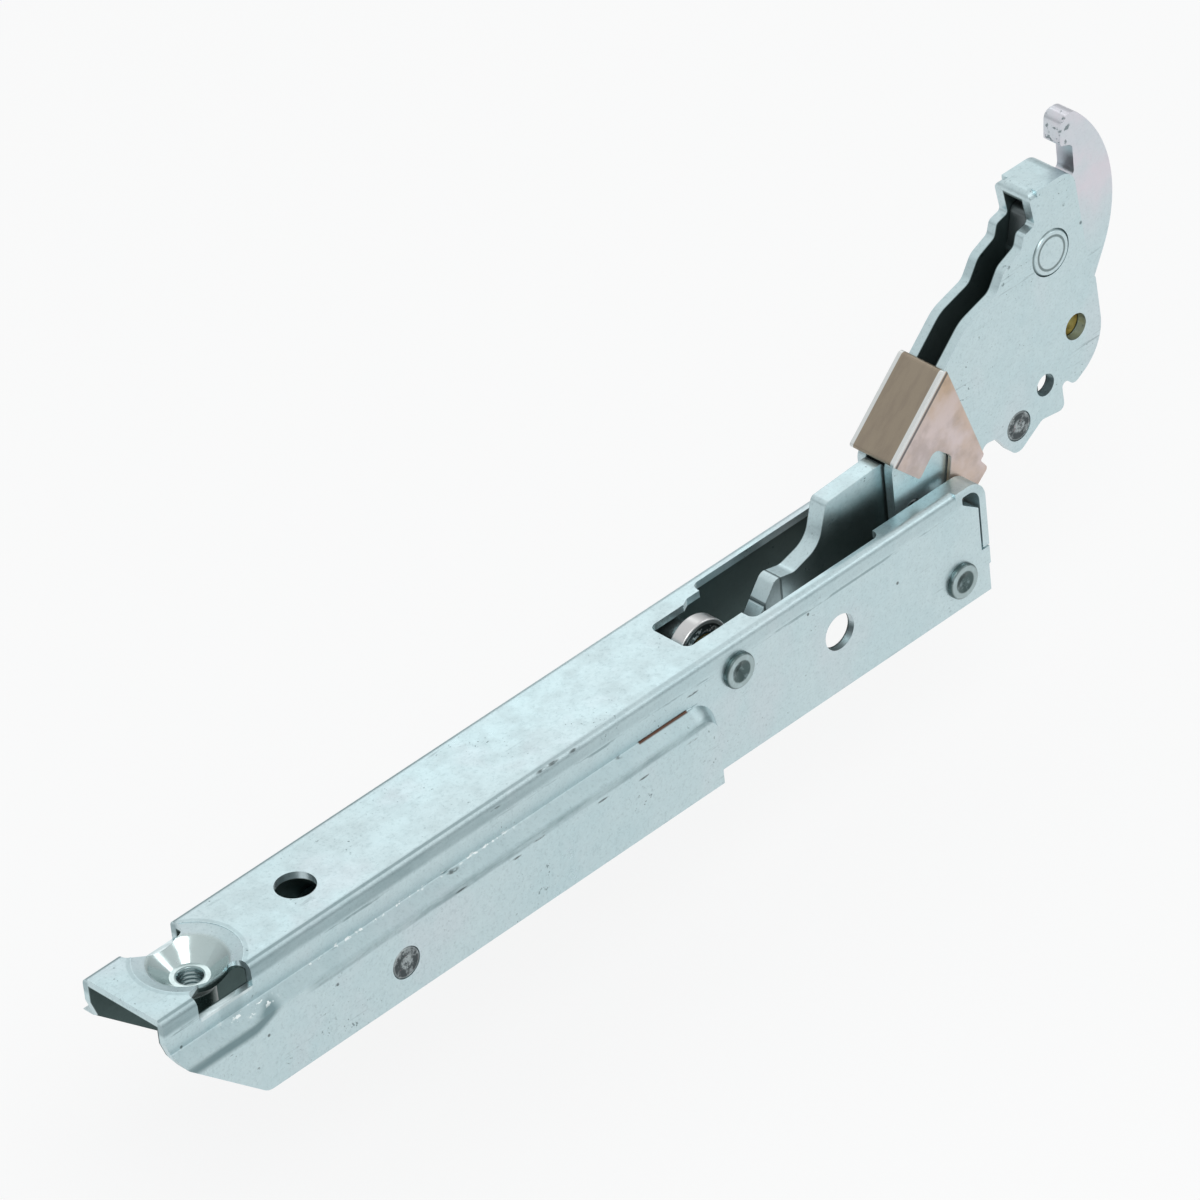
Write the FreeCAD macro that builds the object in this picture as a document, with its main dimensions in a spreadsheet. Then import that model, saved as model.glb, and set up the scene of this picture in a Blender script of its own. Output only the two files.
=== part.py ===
import FreeCAD, Part
import math
import os
import Sketcher

# Oven door hinge: a formed steel channel, a swinging lever with a hook plate,
# a cam link that runs under a roller, a tension spring and a lock clip.
# X runs along the channel towards the hook, Y across it, Z up from its open edge.

doc = FreeCAD.newDocument("oven_door_hinge")
sheet = doc.addObject("Spreadsheet::Sheet", "dim")
row = [0]


def size(alias, text):
    row[0] = row[0] + 1
    place = "B" + str(row[0])
    sheet.set("A" + str(row[0]), alias)
    sheet.set(place, text)
    sheet.setAlias(place, alias)
    return "dim." + alias


def derived(alias, formula):
    row[0] = row[0] + 1
    place = "B" + str(row[0])
    sheet.set("A" + str(row[0]), alias)
    sheet.set(place, "=" + formula)
    sheet.setAlias(place, alias)
    return "dim." + alias


SIZES = (
    # Channel section
    ("channel_length", "188.9"),
    ("gauge", "1.5"),
    ("web_top", "23.3"),
    ("wall_y", "9.54"),
    ("flange_y", "12.3"),
    ("bend_r", "1.45"),
    ("inner_bend_r", "0.4"),
    ("ledge_high", "16.3"),
    ("ledge_low", "14.5"),
    ("channel_right", "7.2"),
    ("panel_end", "-60.4"),
    ("panel_round", "6.5"),
    # Left end: chamfer, dish, collar and relief openings
    ("chamfer_top", "15.6"),
    ("chamfer_run", "17.2"),
    ("screw_from_end", "14.2"),
    ("dish_r", "9.4"),
    ("dish_shoulder_r", "6.8"),
    ("dish_shoulder_drop", "0.7"),
    ("cone_r", "3.4"),
    ("cone_drop", "3.9"),
    ("collar_r", "4.0"),
    ("collar_bottom", "13.6"),
    ("thread_r", "2.1"),
    ("relief_left", "6.7"),
    ("relief_right", "4.9"),
    ("relief_y", "5.9"),
    ("relief_bottom", "19.2"),
    ("web_hole_from_end", "38.0"),
    ("web_hole_r", "3.55"),
    # Window and slot in the web
    ("window_left", "-58.7"),
    ("window_step", "-46.0"),
    ("window_half", "4.6"),
    ("well_right", "-15.8"),
    ("well_half", "7.4"),
    ("slot_half", "5.6"),
    # Folded end strips
    ("strip_bend_r", "4.0"),
    ("strip_bottom", "9.3"),
    ("slit", "0.4"),
    # Pins and their places, from the main pivot
    ("axle_z", "5.7"),
    ("axle_r", "2.5"),
    ("axle_head_r", "3.3"),
    ("head_high", "0.9"),
    ("roller_x", "-52.5"),
    ("roller_z", "17.6"),
    ("roller_r", "5.9"),
    ("roller_half", "1.5"),
    ("roller_axle_r", "2.2"),
    ("roller_bush_r", "3.2"),
    ("anchor_x", "-132.9"),
    ("anchor_z", "6.8"),
    ("anchor_r", "2.95"),
    ("side_hole_x", "-28.9"),
    ("side_hole_z", "11.6"),
    ("side_hole_r", "3.4"),
    ("fit", "0.05"),
    ("play", "0.3"),
    ("dimple_r", "1.9"),
    ("dimple_deep", "0.8"),
    # Lever, hook plate and clip
    ("plate_out", "4.05"),
    ("plate_in", "2.1"),
    ("hook_half", "1.95"),
    ("link_half", "1.75"),
    ("clip_out", "5.1"),
    ("clip_gauge", "0.75"),
    ("eye_r", "5.4"),
    ("bush_r", "4.4"),
    ("link_pin_x", "-4.5"),
    ("link_pin_z", "20.3"),
    ("link_pin_r", "2.2"),
    ("hook_rivet_x", "32.2"),
    ("hook_rivet_z", "53.1"),
    ("hook_rivet_r", "4.4"),
    ("stop_pin_x", "21.6"),
    ("stop_pin_z", "23.2"),
    ("stop_pin_r", "2.8"),
    ("lock_hole_x", "36.8"),
    ("lock_hole_z", "35.4"),
    ("lock_hole_r", "2.5"),
    ("lock_bush_r", "3.2"),
    ("small_hole_x", "28.6"),
    ("small_hole_z", "27.8"),
    ("small_hole_r", "2.1"),
    ("top_web_z", "66.7"),
    ("top_web_gauge", "1.9"),
    ("top_round", "1.7"),
    # Shackle and spring
    ("shackle_pin_r", "2.0"),
    ("shackle_front_x", "-79.0"),
    ("shackle_front_z", "9.0"),
    ("shackle_rear_x", "-90.0"),
    ("slot_left", "3.1"),
    ("slot_right", "2.4"),
    ("slot_low", "5.0"),
    ("slot_high", "2.4"),
    ("through", "60.0"),
    ("shackle_in", "2.15"),
    ("shackle_gauge", "1.2"),
    ("shackle_end_r", "3.6"),
    ("coil_r", "4.55"),
    ("wire_r", "1.15"),
    ("knot_swell", "1.045"),
    ("turns", "13"),
    ("loop_gap", "4.5"),
    # Folded crease of the clip and the hook's rounded back
    ("crease_dx", "0.495"),
    ("crease_dz", "0.566"),
    ("back_inset", "5.5"),
)
for alias, text in SIZES:
    size(alias, text)

# Worked out from those
derived("channel_left", "channel_right - channel_length")
derived("web_under", "web_top - gauge")
derived("wall_in", "wall_y - gauge")
derived("flange_in", "flange_y - gauge")
derived("ledge_slope", "(ledge_high - ledge_low) / (flange_y - wall_y)")
derived("bulge_out", "(flange_y - wall_y + gauge / 2) * ledge_slope")
derived("cavity_out", "(flange_y - wall_y + gauge / 2) * ledge_slope")
derived("screw_x", "channel_left + screw_from_end")
derived("web_hole_x", "channel_left + web_hole_from_end")
derived("clip_in", "clip_out - clip_gauge")
derived("loop_in", "coil_r - wire_r")
derived("loop_left_x", "anchor_x + loop_in - anchor_r - fit")
derived("loop_right_x", "shackle_rear_x - loop_in + shackle_pin_r + play")
derived("coil_len", "loop_right_x - loop_left_x - 2 * loop_gap")
doc.recompute()


def value(text):
    found = sheet.evalExpression(text)
    return float(found)


def words(text):
    # Every name of the sheet gets its owner in front.
    out = []
    word = ""
    for letter in text + " ":
        if letter.isalnum() or letter == "_":
            word = word + letter
            continue
        if word and word[0].isalpha() and word not in ("dim", "tan", "sin", "cos", "sqrt"):
            word = "dim." + word
        out.append(word + letter)
        word = ""
    return "".join(out).strip()


def plane(body, role):
    for feature in body.Origin.OriginFeatures:
        if feature.Role == role:
            return feature
    raise ValueError(role)


def new_body(name, x="0", z="0"):
    body = doc.addObject("PartDesign::Body", name)
    body.Label = name
    body.setExpression("Placement.Base.x", words("pivot_x + " + x))
    body.setExpression("Placement.Base.z", words(z))
    return body


def new_sketch(body, name, role, offset=None):
    sketch = body.newObject("Sketcher::SketchObject", name)
    sketch.AttachmentSupport = [(plane(body, role), "")]
    sketch.MapMode = "FlatFace"
    if offset:
        sketch.setExpression("AttachmentOffset.Base.z", words(offset))
    return sketch


def corner_arc(before, at, after, radius):
    # Where a rounded corner's arc begins and ends, and the arc itself, always counter-clockwise.
    u = (before - at).normalize()
    w = (after - at).normalize()
    half = u.getAngle(w) / 2.0
    back = radius / math.tan(half)
    centre = at + (u + w).normalize() * (radius / math.sin(half))
    start = at + u * back
    finish = at + w * back
    low = math.atan2(start.y - centre.y, start.x - centre.x)
    high = math.atan2(finish.y - centre.y, finish.x - centre.x)
    forward = (high - low) % (2 * math.pi) < math.pi
    if not forward:
        low, high = high, low
    if high < low:
        high = high + 2 * math.pi
    ring = Part.Circle(centre, FreeCAD.Vector(0, 0, 1), radius)
    return start, Part.ArcOfCircle(ring, low, high), finish, forward


def outline(sketch, corners):
    # A closed outline: each corner is (x, z) or (x, z, radius), all as text.
    count = len(corners)
    points = []
    for corner in corners:
        points.append(FreeCAD.Vector(value(words(corner[0])), value(words(corner[1])), 0))
    ends = []
    for i in range(count):
        before = corners[i - 1]
        at = corners[i]
        after = corners[(i + 1) % count]
        if len(at) < 3:
            spot = (points[i], at[0], at[1])
            ends.append((spot, spot, None, True))
            continue
        radius = value(words(at[2]))
        start, arc, finish, forward = corner_arc(points[i - 1], points[i], points[(i + 1) % count], radius)
        first, second = corner_shares(before, at, after)
        enter = (start, between(at[0], before[0], first), between(at[1], before[1], first))
        leave = (finish, between(at[0], after[0], second), between(at[1], after[1], second))
        ends.append((enter, leave, arc, forward))
    lines = []
    for i in range(count):
        leave = ends[i][1]
        enter = ends[(i + 1) % count][0]
        line = sketch.addGeometry(Part.LineSegment(leave[0], enter[0]), False)
        pin_point(sketch, line, 1, words(leave[1]), words(leave[2]), leave[0])
        lines.append(line)
    for i in range(count):
        before = lines[i - 1]
        after = lines[i]
        enter, leave, curve, forward = ends[i]
        if curve is None:
            sketch.addConstraint(Sketcher.Constraint("Coincident", before, 2, after, 1))
            continue
        pin_point(sketch, before, 2, words(enter[1]), words(enter[2]), enter[0])
        arc = sketch.addGeometry(curve, False)
        near = 1 if forward else 2
        sketch.addConstraint(Sketcher.Constraint("Coincident", before, 2, arc, near))
        sketch.addConstraint(Sketcher.Constraint("Coincident", after, 1, arc, 3 - near))
        text = words(corners[i][2])
        made = sketch.addConstraint(Sketcher.Constraint("Radius", arc, value(text)))
        sketch.setExpression("Constraints[%d]" % made, text)


def between(here, there, share):
    return "(%s) + ((%s) - (%s)) * %s" % (here, there, here, share)


def corner_shares(before, at, after):
    # How far along each side of a corner its arc begins, as formulas on the same sizes.
    ax = "((%s) - (%s))" % (before[0], at[0])
    az = "((%s) - (%s))" % (before[1], at[1])
    bx = "((%s) - (%s))" % (after[0], at[0])
    bz = "((%s) - (%s))" % (after[1], at[1])
    side_in = "sqrt(%s^2 + %s^2)" % (ax, az)
    side_out = "sqrt(%s^2 + %s^2)" % (bx, bz)
    cosine = "((%s * %s + %s * %s) / (%s * %s))" % (ax, bx, az, bz, side_in, side_out)
    back = "(%s) * sqrt((1 + %s) / (1 - %s))" % (at[2], cosine, cosine)
    return "(%s / %s)" % (back, side_in), "(%s / %s)" % (back, side_out)


def pin_point(sketch, item, end, x_text, z_text, place):
    for kind, text, there in (("DistanceX", x_text, place.x), ("DistanceY", z_text, place.y)):
        made = sketch.addConstraint(Sketcher.Constraint(kind, -1, 1, item, end, there))
        sketch.setExpression("Constraints[%d]" % made, text)


def circle(sketch, x, z, radius):
    x_text = words(x)
    z_text = words(z)
    r_text = words(radius)
    centre = FreeCAD.Vector(value(x_text), value(z_text), 0)
    normal = FreeCAD.Vector(0, 0, 1)
    item = sketch.addGeometry(Part.Circle(centre, normal, value(r_text)), False)
    pin_point(sketch, item, 3, x_text, z_text, centre)
    made = sketch.addConstraint(Sketcher.Constraint("Radius", item, value(r_text)))
    sketch.setExpression("Constraints[%d]" % made, r_text)


def pad(body, sketch, name, length, both=False):
    doc.recompute()
    made = body.newObject("PartDesign::Pad", name)
    made.Profile = sketch
    made.setExpression("Length", words(length))
    if both:
        made.SideType = "Symmetric"
    sketch.Visibility = False
    return made


def pocket(body, sketch, name, length, both=False, reverse=False):
    doc.recompute()
    for feature in body.Group:
        if "Invalid" in feature.State or "Error" in feature.State:
            raise ValueError(feature.Name + " failed before " + name + " " + str(feature.State))
    before = body.Shape.Volume
    made = body.newObject("PartDesign::Pocket", name)
    made.Profile = sketch
    made.setExpression("Length", words(length))
    if both:
        made.SideType = "Symmetric"
    made.Reversed = reverse
    doc.recompute()
    if body.Shape.Volume >= before - 0.01:
        raise ValueError(name + " cuts nothing")
    sketch.Visibility = False
    return made


def turned(name, x, z, corners):
    # A round piece on an axis across the hinge; corners are (y, radius).
    body = new_body(name, x, z)
    sketch = new_sketch(body, name + "_half", "YZ_Plane")
    outline(sketch, corners)
    made = body.newObject("PartDesign::Revolution", name + "_turn")
    made.Profile = sketch
    made.ReferenceAxis = (sketch, ["H_Axis"])
    made.Angle = 360
    sketch.Visibility = False
    return body


def corners_of(name, *rows):
    # Names each corner's place in the sheet and gives back the texts.
    texts = []
    for number, entry in enumerate(rows):
        mark = name + "_" + entry[0]
        size(mark + "_x", str(entry[1]))
        size(mark + "_z", str(entry[2]))
        corner = [mark + "_x", mark + "_z"]
        if len(entry) > 3:
            size(mark + "_r", str(entry[3]))
            corner.append(mark + "_r")
        texts.append(tuple(corner))
    return texts


# Outlines of the four flat shapes, each corner with its rounding
plate_corners = corners_of(
    "plate",
    ("eye_right", 5.4, 0.3, 5.0),
    ("neck_right", 5.4, 14.0, 3.0),
    ("belly_left", 13.4, 24.0, 1.5),
    ("lobe_left", 16.2, 23.6, 1.2),
    ("lobe_low", 20.6, 17.4, 2.2),
    ("lobe_right", 27.2, 21.4, 1.5),
    ("heel_low", 32.8, 20.6, 1.2),
    ("heel_top", 32.4, 27.4, 0.9),
    ("bump", 35.4, 24.2, 1.5),
    ("chin", 43.3, 28.5, 9.5),
    ("cheek", 42.4, 42.6, 1.2),
    ("throat", 41.2, 44.6, 1.2),
    ("top_right", 38.9, 66.7, 3.4),
    ("top_left", 28.0, 66.7, 1.2),
    ("brow", 29.0, 60.3, 0.8),
    ("brow_step", 26.2, 59.6, 1.0),
    ("brow_foot", 25.4, 57.2, 1.4),
    ("nose", 21.2, 55.4, 3.0),
    ("lip", 18.6, 51.6, 2.6),
    ("front_high", 11.4, 49.5, 7.0),
    ("front_low", -8.7, 31.2, 2.5),
    ("back", -8.7, 15.5, 4.0),
    ("eye_top", -5.4, 10.0, 3.0),
    ("eye_left", -5.4, 0.3, 5.0),
)
hook_corners = corners_of(
    "hook",
    ("claw_low", 38.4, 70.4, 0.6),
    ("claw_top", 38.9, 75.7, 1.7),
    ("crown", 42.3, 75.7, 2.6),
    ("back", 55.5, 60.8, 24.7),
    ("waist", 44.2, 40.9, 1.5),
    ("root_right", 41.6, 31.4, 2.5),
    ("root_low", 32.5, 29.6, 2.5),
    ("root_left", 27.4, 52.0, 3.0),
    ("inner", 29.6, 61.6, 1.5),
    ("sill", 41.2, 63.4, 1.2),
    ("mouth", 41.2, 69.4, 1.0),
)
cam_corners = corners_of(
    "cam",
    ("eye_low", 0.6, 15.2, 4.9),
    ("eye_high", 0.6, 25.4, 4.9),
    ("neck", -6.6, 25.6, 0.8),
    ("head_right", -8.6, 31.5, 1.2),
    ("head_left", -22.2, 30.8, 1.0),
    ("head_foot", -24.6, 23.4, 5.0),
    ("saddle", -30.8, 21.6, 3.0),
    ("hump", -35.2, 22.6, 1.6),
    ("ramp", -41.2, 15.2, 2.5),
    ("under_roller", -54.0, 9.9, 8.0),
    ("cam_floor", -63.0, 8.9, 8.0),
    ("cam_rise", -76.2, 13.6, 1.0),
    ("tail_top", -84.6, 13.6, 2.5),
    ("tail_low", -84.6, 1.8, 3.0),
    ("belly", -41.0, 2.6, 8.0),
    ("knee", -22.6, 9.4, 5.0),
    ("arch_left", -20.6, 16.2, 2.5),
    ("arch_right", -10.0, 15.6, 2.0),
)
clip_corners = corners_of(
    "clip",
    ("eye_right", 5.2, 0.5, 4.8),
    ("leg_low", 6.0, 15.0, 2.0),
    ("toe", 12.6, 20.2, 0.8),
    ("nick", 11.0, 22.4, 0.4),
    ("heel", 11.9, 23.2, 0.5),
    ("top", 4.6, 45.2, 0.9),
    ("crease", -9.5, 32.6, 0.6),
    ("left_low", -3.4, 26.6, 0.6),
    ("notch_left", 0.6, 30.6, 1.6),
    ("notch_right", 4.4, 27.2, 1.5),
    ("leg_left", 1.6, 14.0, 3.0),
    ("eye_top", -5.2, 9.0, 3.0),
    ("eye_left", -5.2, 0.5, 4.8),
)

# The row frame's origin lies halfway between the channel's end and the hook's rounded back
derived("pivot_x", "(channel_length - channel_right - hook_back_x + back_inset) / 2")
doc.recompute()

# The channel: web and upper walls
channel = new_body("door_channel")
section = new_sketch(channel, "top_section", "YZ_Plane", "channel_left")
outline(section, (
    ("-wall_y", "0"),
    ("-wall_y", "web_top", "bend_r"),
    ("wall_y", "web_top", "bend_r"),
    ("wall_y", "0"),
    ("wall_in", "0"),
    ("wall_in", "web_under", "inner_bend_r"),
    ("-wall_in", "web_under", "inner_bend_r"),
    ("-wall_in", "0"),
))
pad(channel, section, "top_run", "channel_right - channel_left - strip_bend_r")
toe = new_sketch(channel, "toe_section", "YZ_Plane", "channel_right - 2 * strip_bend_r")
outline(toe, (
    ("-wall_y", "0"),
    ("-wall_y", "web_under - strip_bend_r + gauge"),
    ("wall_y", "web_under - strip_bend_r + gauge"),
    ("wall_y", "0"),
    ("wall_in", "0"),
    ("wall_in", "web_under - strip_bend_r"),
    ("-wall_in", "web_under - strip_bend_r"),
    ("-wall_in", "0"),
))
pad(channel, toe, "toe_run", "2 * strip_bend_r")

# The lower walls are pressed outwards to the flanges, with a sloped step all round
for side, mark in ((1, "far"), (-1, "near")):
    s = "-" if side > 0 else ""
    bulge = new_sketch(channel, "flange_" + mark, "XZ_Plane", s + "(wall_y - gauge / 2)")
    outline(bulge, (
        ("channel_left - 4 * gauge", "-4 * gauge"),
        ("panel_end + bulge_out", "-4 * gauge"),
        ("panel_end + bulge_out", "ledge_low + bulge_out", "panel_round"),
        ("channel_left - 4 * gauge", "ledge_low + bulge_out"),
    ))
    made = pad(channel, bulge, "flange_run_" + mark, "flange_y - wall_y + gauge / 2")
    made.Reversed = side > 0
    made.setExpression("TaperAngle", "-atan(dim.ledge_slope)")
for side, mark in ((1, "far"), (-1, "near")):
    s = "-" if side > 0 else ""
    cavity = new_sketch(channel, "flange_inside_" + mark, "XZ_Plane", s + "(wall_in - gauge / 2)")
    outline(cavity, (
        ("channel_left - 4 * gauge", "-4 * gauge"),
        ("panel_end - gauge / 2 + cavity_out", "-4 * gauge"),
        ("panel_end - gauge / 2 + cavity_out", "ledge_low - gauge / 2 + cavity_out", "panel_round"),
        ("channel_left - 4 * gauge", "ledge_low - gauge / 2 + cavity_out"),
    ))
    made = pocket(channel, cavity, "flange_inside_cut_" + mark, "flange_y - wall_y + gauge / 2", False, side < 0)
    made.setExpression("TaperAngle", "-atan(dim.ledge_slope)")
strip = new_sketch(channel, "strip_profile", "XZ_Plane")
outline(strip, (
    ("channel_right - strip_bend_r - 2 * gauge", "web_top"),
    ("channel_right", "web_top", "strip_bend_r"),
    ("channel_right", "strip_bottom"),
    ("channel_right - gauge", "strip_bottom"),
    ("channel_right - gauge", "web_under", "strip_bend_r - gauge"),
    ("channel_right - strip_bend_r - 2 * gauge", "web_under"),
))
pad(channel, strip, "strip_run", "2 * wall_y", True)
slot = new_sketch(channel, "slot_outline", "XY_Plane", "web_top + gauge")
outline(slot, (
    ("well_right - gauge", "-slot_half"),
    ("channel_right + gauge", "-slot_half"),
    ("channel_right + gauge", "slot_half"),
    ("well_right - gauge", "slot_half"),
))
pocket(channel, slot, "slot_cut", "web_top + gauge - strip_bottom + gauge / 2")
well = new_sketch(channel, "well_outline", "XY_Plane", "web_top + gauge")
outline(well, (
    ("window_step", "-well_half", "gauge"),
    ("well_right", "-well_half", "gauge"),
    ("well_right", "well_half", "gauge"),
    ("window_step", "well_half", "gauge"),
))
pocket(channel, well, "well_cut", "2 * gauge + gauge / 10")
window = new_sketch(channel, "window_outline", "XY_Plane", "web_top + gauge")
outline(window, (
    ("window_left", "-window_half", "gauge"),
    ("window_step + gauge", "-window_half"),
    ("window_step + gauge", "window_half + gauge / 2"),
    ("window_step - 2 * gauge", "window_half + gauge / 2", "gauge / 4"),
    ("window_step - 3 * gauge", "window_half", "gauge / 4"),
    ("window_left", "window_half", "gauge"),
))
pocket(channel, window, "window_cut", "2 * gauge + gauge / 10")

# Side cuts go through both walls
slits = new_sketch(channel, "slit_outline", "XZ_Plane")
outline(slits, (
    ("channel_right - gauge - slit", "strip_bottom - slit"),
    ("channel_right + gauge", "strip_bottom - slit"),
    ("channel_right + gauge", "strip_bottom"),
    ("channel_right - gauge", "strip_bottom"),
    ("channel_right - gauge", "web_under - strip_bend_r + gauge"),
    ("channel_right - strip_bend_r", "web_under"),
    ("channel_right - strip_bend_r - gauge", "web_under", "slit"),
    ("channel_right - strip_bend_r - gauge", "web_under - gauge", "slit"),
    ("channel_right - gauge - slit", "web_under - strip_bend_r"),
))
pocket(channel, slits, "slit_cut", "through", True)
step = new_sketch(channel, "foot_outline", "XZ_Plane")
outline(step, (
    ("channel_right - slit", "-gauge"),
    ("channel_right + gauge", "-gauge"),
    ("channel_right + gauge", "axle_z"),
    ("channel_right - slit", "axle_z - slit"),
))
pocket(channel, step, "foot_cut", "through", True)
chamfer = new_sketch(channel, "chamfer_outline", "XZ_Plane")
outline(chamfer, (
    ("channel_left - 8 * gauge", "-8 * gauge"),
    ("channel_right + 8 * gauge", "-8 * gauge"),
    ("channel_right + 8 * gauge", "0"),
    ("channel_left + chamfer_run", "0", "2 * gauge"),
    ("channel_left + gauge", "chamfer_top - gauge", "2 * gauge"),
    ("channel_left", "chamfer_top + 2 * gauge"),
    ("channel_left", "web_top + gauge"),
    ("channel_left - 8 * gauge", "web_top + gauge"),
))
pocket(channel, chamfer, "chamfer_cut", "through", True)
holes = new_sketch(channel, "wall_holes", "XZ_Plane")
circle(holes, "0", "axle_z", "axle_r + fit")
circle(holes, "side_hole_x", "side_hole_z", "side_hole_r")
circle(holes, "roller_x", "roller_z", "roller_axle_r + fit")
circle(holes, "anchor_x", "anchor_z", "anchor_r + fit")
pocket(channel, holes, "wall_hole_cut", "through", True)

# Dish with its threaded collar, and the two relief openings beside it
well_round = new_sketch(channel, "dish_seat", "XY_Plane", "web_top + gauge")
circle(well_round, "screw_x", "0", "dish_r - gauge / 4")
pocket(channel, well_round, "dish_seat_cut", "2 * gauge + gauge / 3")
dish = new_sketch(channel, "dish_profile", "XZ_Plane")
outline(dish, (
    ("screw_x + thread_r", "collar_bottom"),
    ("screw_x + collar_r", "collar_bottom"),
    ("screw_x + collar_r", "web_top - cone_drop - gauge", "gauge / 2"),
    ("screw_x + dish_shoulder_r", "web_top - dish_shoulder_drop - gauge", "gauge"),
    ("screw_x + dish_r", "web_under"),
    ("screw_x + dish_r", "web_top"),
    ("screw_x + dish_shoulder_r", "web_top - dish_shoulder_drop", "gauge"),
    ("screw_x + cone_r", "web_top - cone_drop"),
    ("screw_x + thread_r + gauge / 6", "web_top - cone_drop"),
    ("screw_x + thread_r", "web_top - cone_drop - gauge / 6"),
))
post = new_sketch(channel, "dish_axis", "XZ_Plane")
foot = FreeCAD.Vector(value("dim.screw_x"), 0, 0)
head = FreeCAD.Vector(foot.x, value("dim.web_top"), 0)
axis = post.addGeometry(Part.LineSegment(foot, head), False)
pin_point(post, axis, 1, words("screw_x"), "0", foot)
pin_point(post, axis, 2, words("screw_x"), words("web_top"), head)
doc.recompute()
turn = channel.newObject("PartDesign::Revolution", "dish_turn")
turn.Profile = dish
turn.ReferenceAxis = (post, ["Edge1"])
turn.Angle = 360
for side, mark in ((1, "far"), (-1, "near")):
    s = "" if side > 0 else "-"
    relief = new_sketch(channel, "relief_" + mark, "XY_Plane", "web_top + gauge")
    outline(relief, (
        ("screw_x - relief_left", s + "(relief_y + gauge)", "gauge"),
        ("screw_x - relief_left / 2", s + "relief_y", "gauge"),
        ("screw_x + relief_right", s + "relief_y", "gauge"),
        ("screw_x + relief_right", s + "(flange_y + gauge)"),
        ("screw_x - relief_left", s + "(flange_y + gauge)"),
    ))
    pocket(channel, relief, "relief_cut_" + mark, "web_top + gauge - relief_bottom")
mark_hole = new_sketch(channel, "web_hole", "XY_Plane", "web_top + gauge")
circle(mark_hole, "web_hole_x", "0", "web_hole_r")
pocket(channel, mark_hole, "web_hole_cut", "3 * gauge")


def rivet(name, x, z, radius, half, head):
    # Two formed heads on the walls, each with a punched dimple.
    return turned(name, x, z, (
        ("-(" + half + " + head_high - dimple_deep)", "0"),
        ("-(" + half + " + head_high)", "dimple_r"),
        ("-(" + half + " + head_high)", head, "head_high / 2"),
        ("-(" + half + " + fit)", head),
        ("-(" + half + " + fit)", radius),
        (half + " + fit", radius),
        (half + " + fit", head),
        (half + " + head_high", head, "head_high / 2"),
        (half + " + head_high", "dimple_r"),
        (half + " + head_high - dimple_deep", "0"),
    ))


def pin(name, x, z, radius, half):
    # A plain pin with broken edges.
    return turned(name, x, z, (
        ("-" + half, "0"),
        ("-" + half, radius + " - slit / 2"),
        ("-" + half + " + slit / 2", radius),
        (half + " - slit / 2", radius),
        (half, radius + " - slit / 2"),
        (half, "0"),
    ))


def sleeve(name, x, z, inner, outer, low, high):
    return turned(name, x, z, (
        (low, inner),
        (low, outer),
        (high, outer),
        (high, inner),
    ))


rivet("main_axle", "0", "axle_z", "axle_r", "wall_y", "axle_head_r")
rivet("roller_axle", "roller_x", "roller_z", "roller_axle_r", "wall_y", "axle_head_r")
pin("spring_anchor_pin", "anchor_x", "anchor_z", "anchor_r", "flange_y")
for side, mark in ((1, "far"), (-1, "near")):
    s = "" if side > 0 else "-"
    sleeve("axle_spacer_" + mark, "0", "axle_z", "axle_r + fit", "bush_r",
           s + "(clip_out + play)", s + "(wall_in - fit)")
    sleeve("roller_spacer_" + mark, "roller_x", "roller_z", "roller_axle_r + fit", "roller_bush_r",
           s + "(roller_half + play)", s + "(wall_in - fit)")
    sleeve("anchor_sleeve_" + mark, "anchor_x", "anchor_z", "anchor_r + fit", "bush_r - slit",
           s + "(wire_r + 2 * play)", s + "(flange_in - fit)")
turned("roller", "roller_x", "roller_z", (
    ("-roller_half", "roller_bush_r + fit"),
    ("-roller_half", "roller_r", "slit"),
    ("roller_half", "roller_r", "slit"),
    ("roller_half", "roller_bush_r + fit"),
))
sleeve("roller_bush", "roller_x", "roller_z", "roller_axle_r + fit", "roller_bush_r",
       "-roller_half", "roller_half")

# Lever bracket: two plates joined by a web at the top
bracket = new_body("lever_bracket")
plates = new_sketch(bracket, "plate_outline", "XZ_Plane")
outline(plates, plate_corners)
pad(bracket, plates, "plate_pair", "2 * plate_out", True)
gap = new_sketch(bracket, "gap_outline", "XZ_Plane")
outline(gap, (
    ("-through", "-through / 2"),
    ("through", "-through / 2"),
    ("through", "top_web_z - top_web_gauge"),
    ("-through", "top_web_z - top_web_gauge"),
))
pocket(bracket, gap, "gap_cut", "2 * plate_in", True)
for side, mark in ((1, "far"), (-1, "near")):
    s = "" if side > 0 else "-"
    edge = new_sketch(bracket, "top_edge_" + mark, "YZ_Plane")
    outline(edge, (
        (s + "(plate_out + gauge)", "top_web_z + gauge"),
        (s + "(plate_out + gauge)", "top_web_z - 2 * gauge"),
        (s + "plate_out", "top_web_z - 2 * gauge"),
        (s + "plate_out", "top_web_z", "top_round"),
        (s + "(plate_out - 2 * gauge)", "top_web_z"),
        (s + "(plate_out - 2 * gauge)", "top_web_z + gauge"),
    ))
    pocket(bracket, edge, "top_round_" + mark, "through", True)
bores = new_sketch(bracket, "plate_bores", "XZ_Plane")
circle(bores, "0", "axle_z", "axle_r + fit")
circle(bores, "link_pin_x", "link_pin_z", "link_pin_r + fit")
circle(bores, "stop_pin_x", "stop_pin_z", "stop_pin_r + fit")
circle(bores, "hook_rivet_x", "hook_rivet_z", "hook_rivet_r + fit")
circle(bores, "lock_hole_x", "lock_hole_z", "lock_hole_r")
circle(bores, "small_hole_x", "small_hole_z", "small_hole_r")
pocket(bracket, bores, "plate_bore_cut", "through", True)

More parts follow.
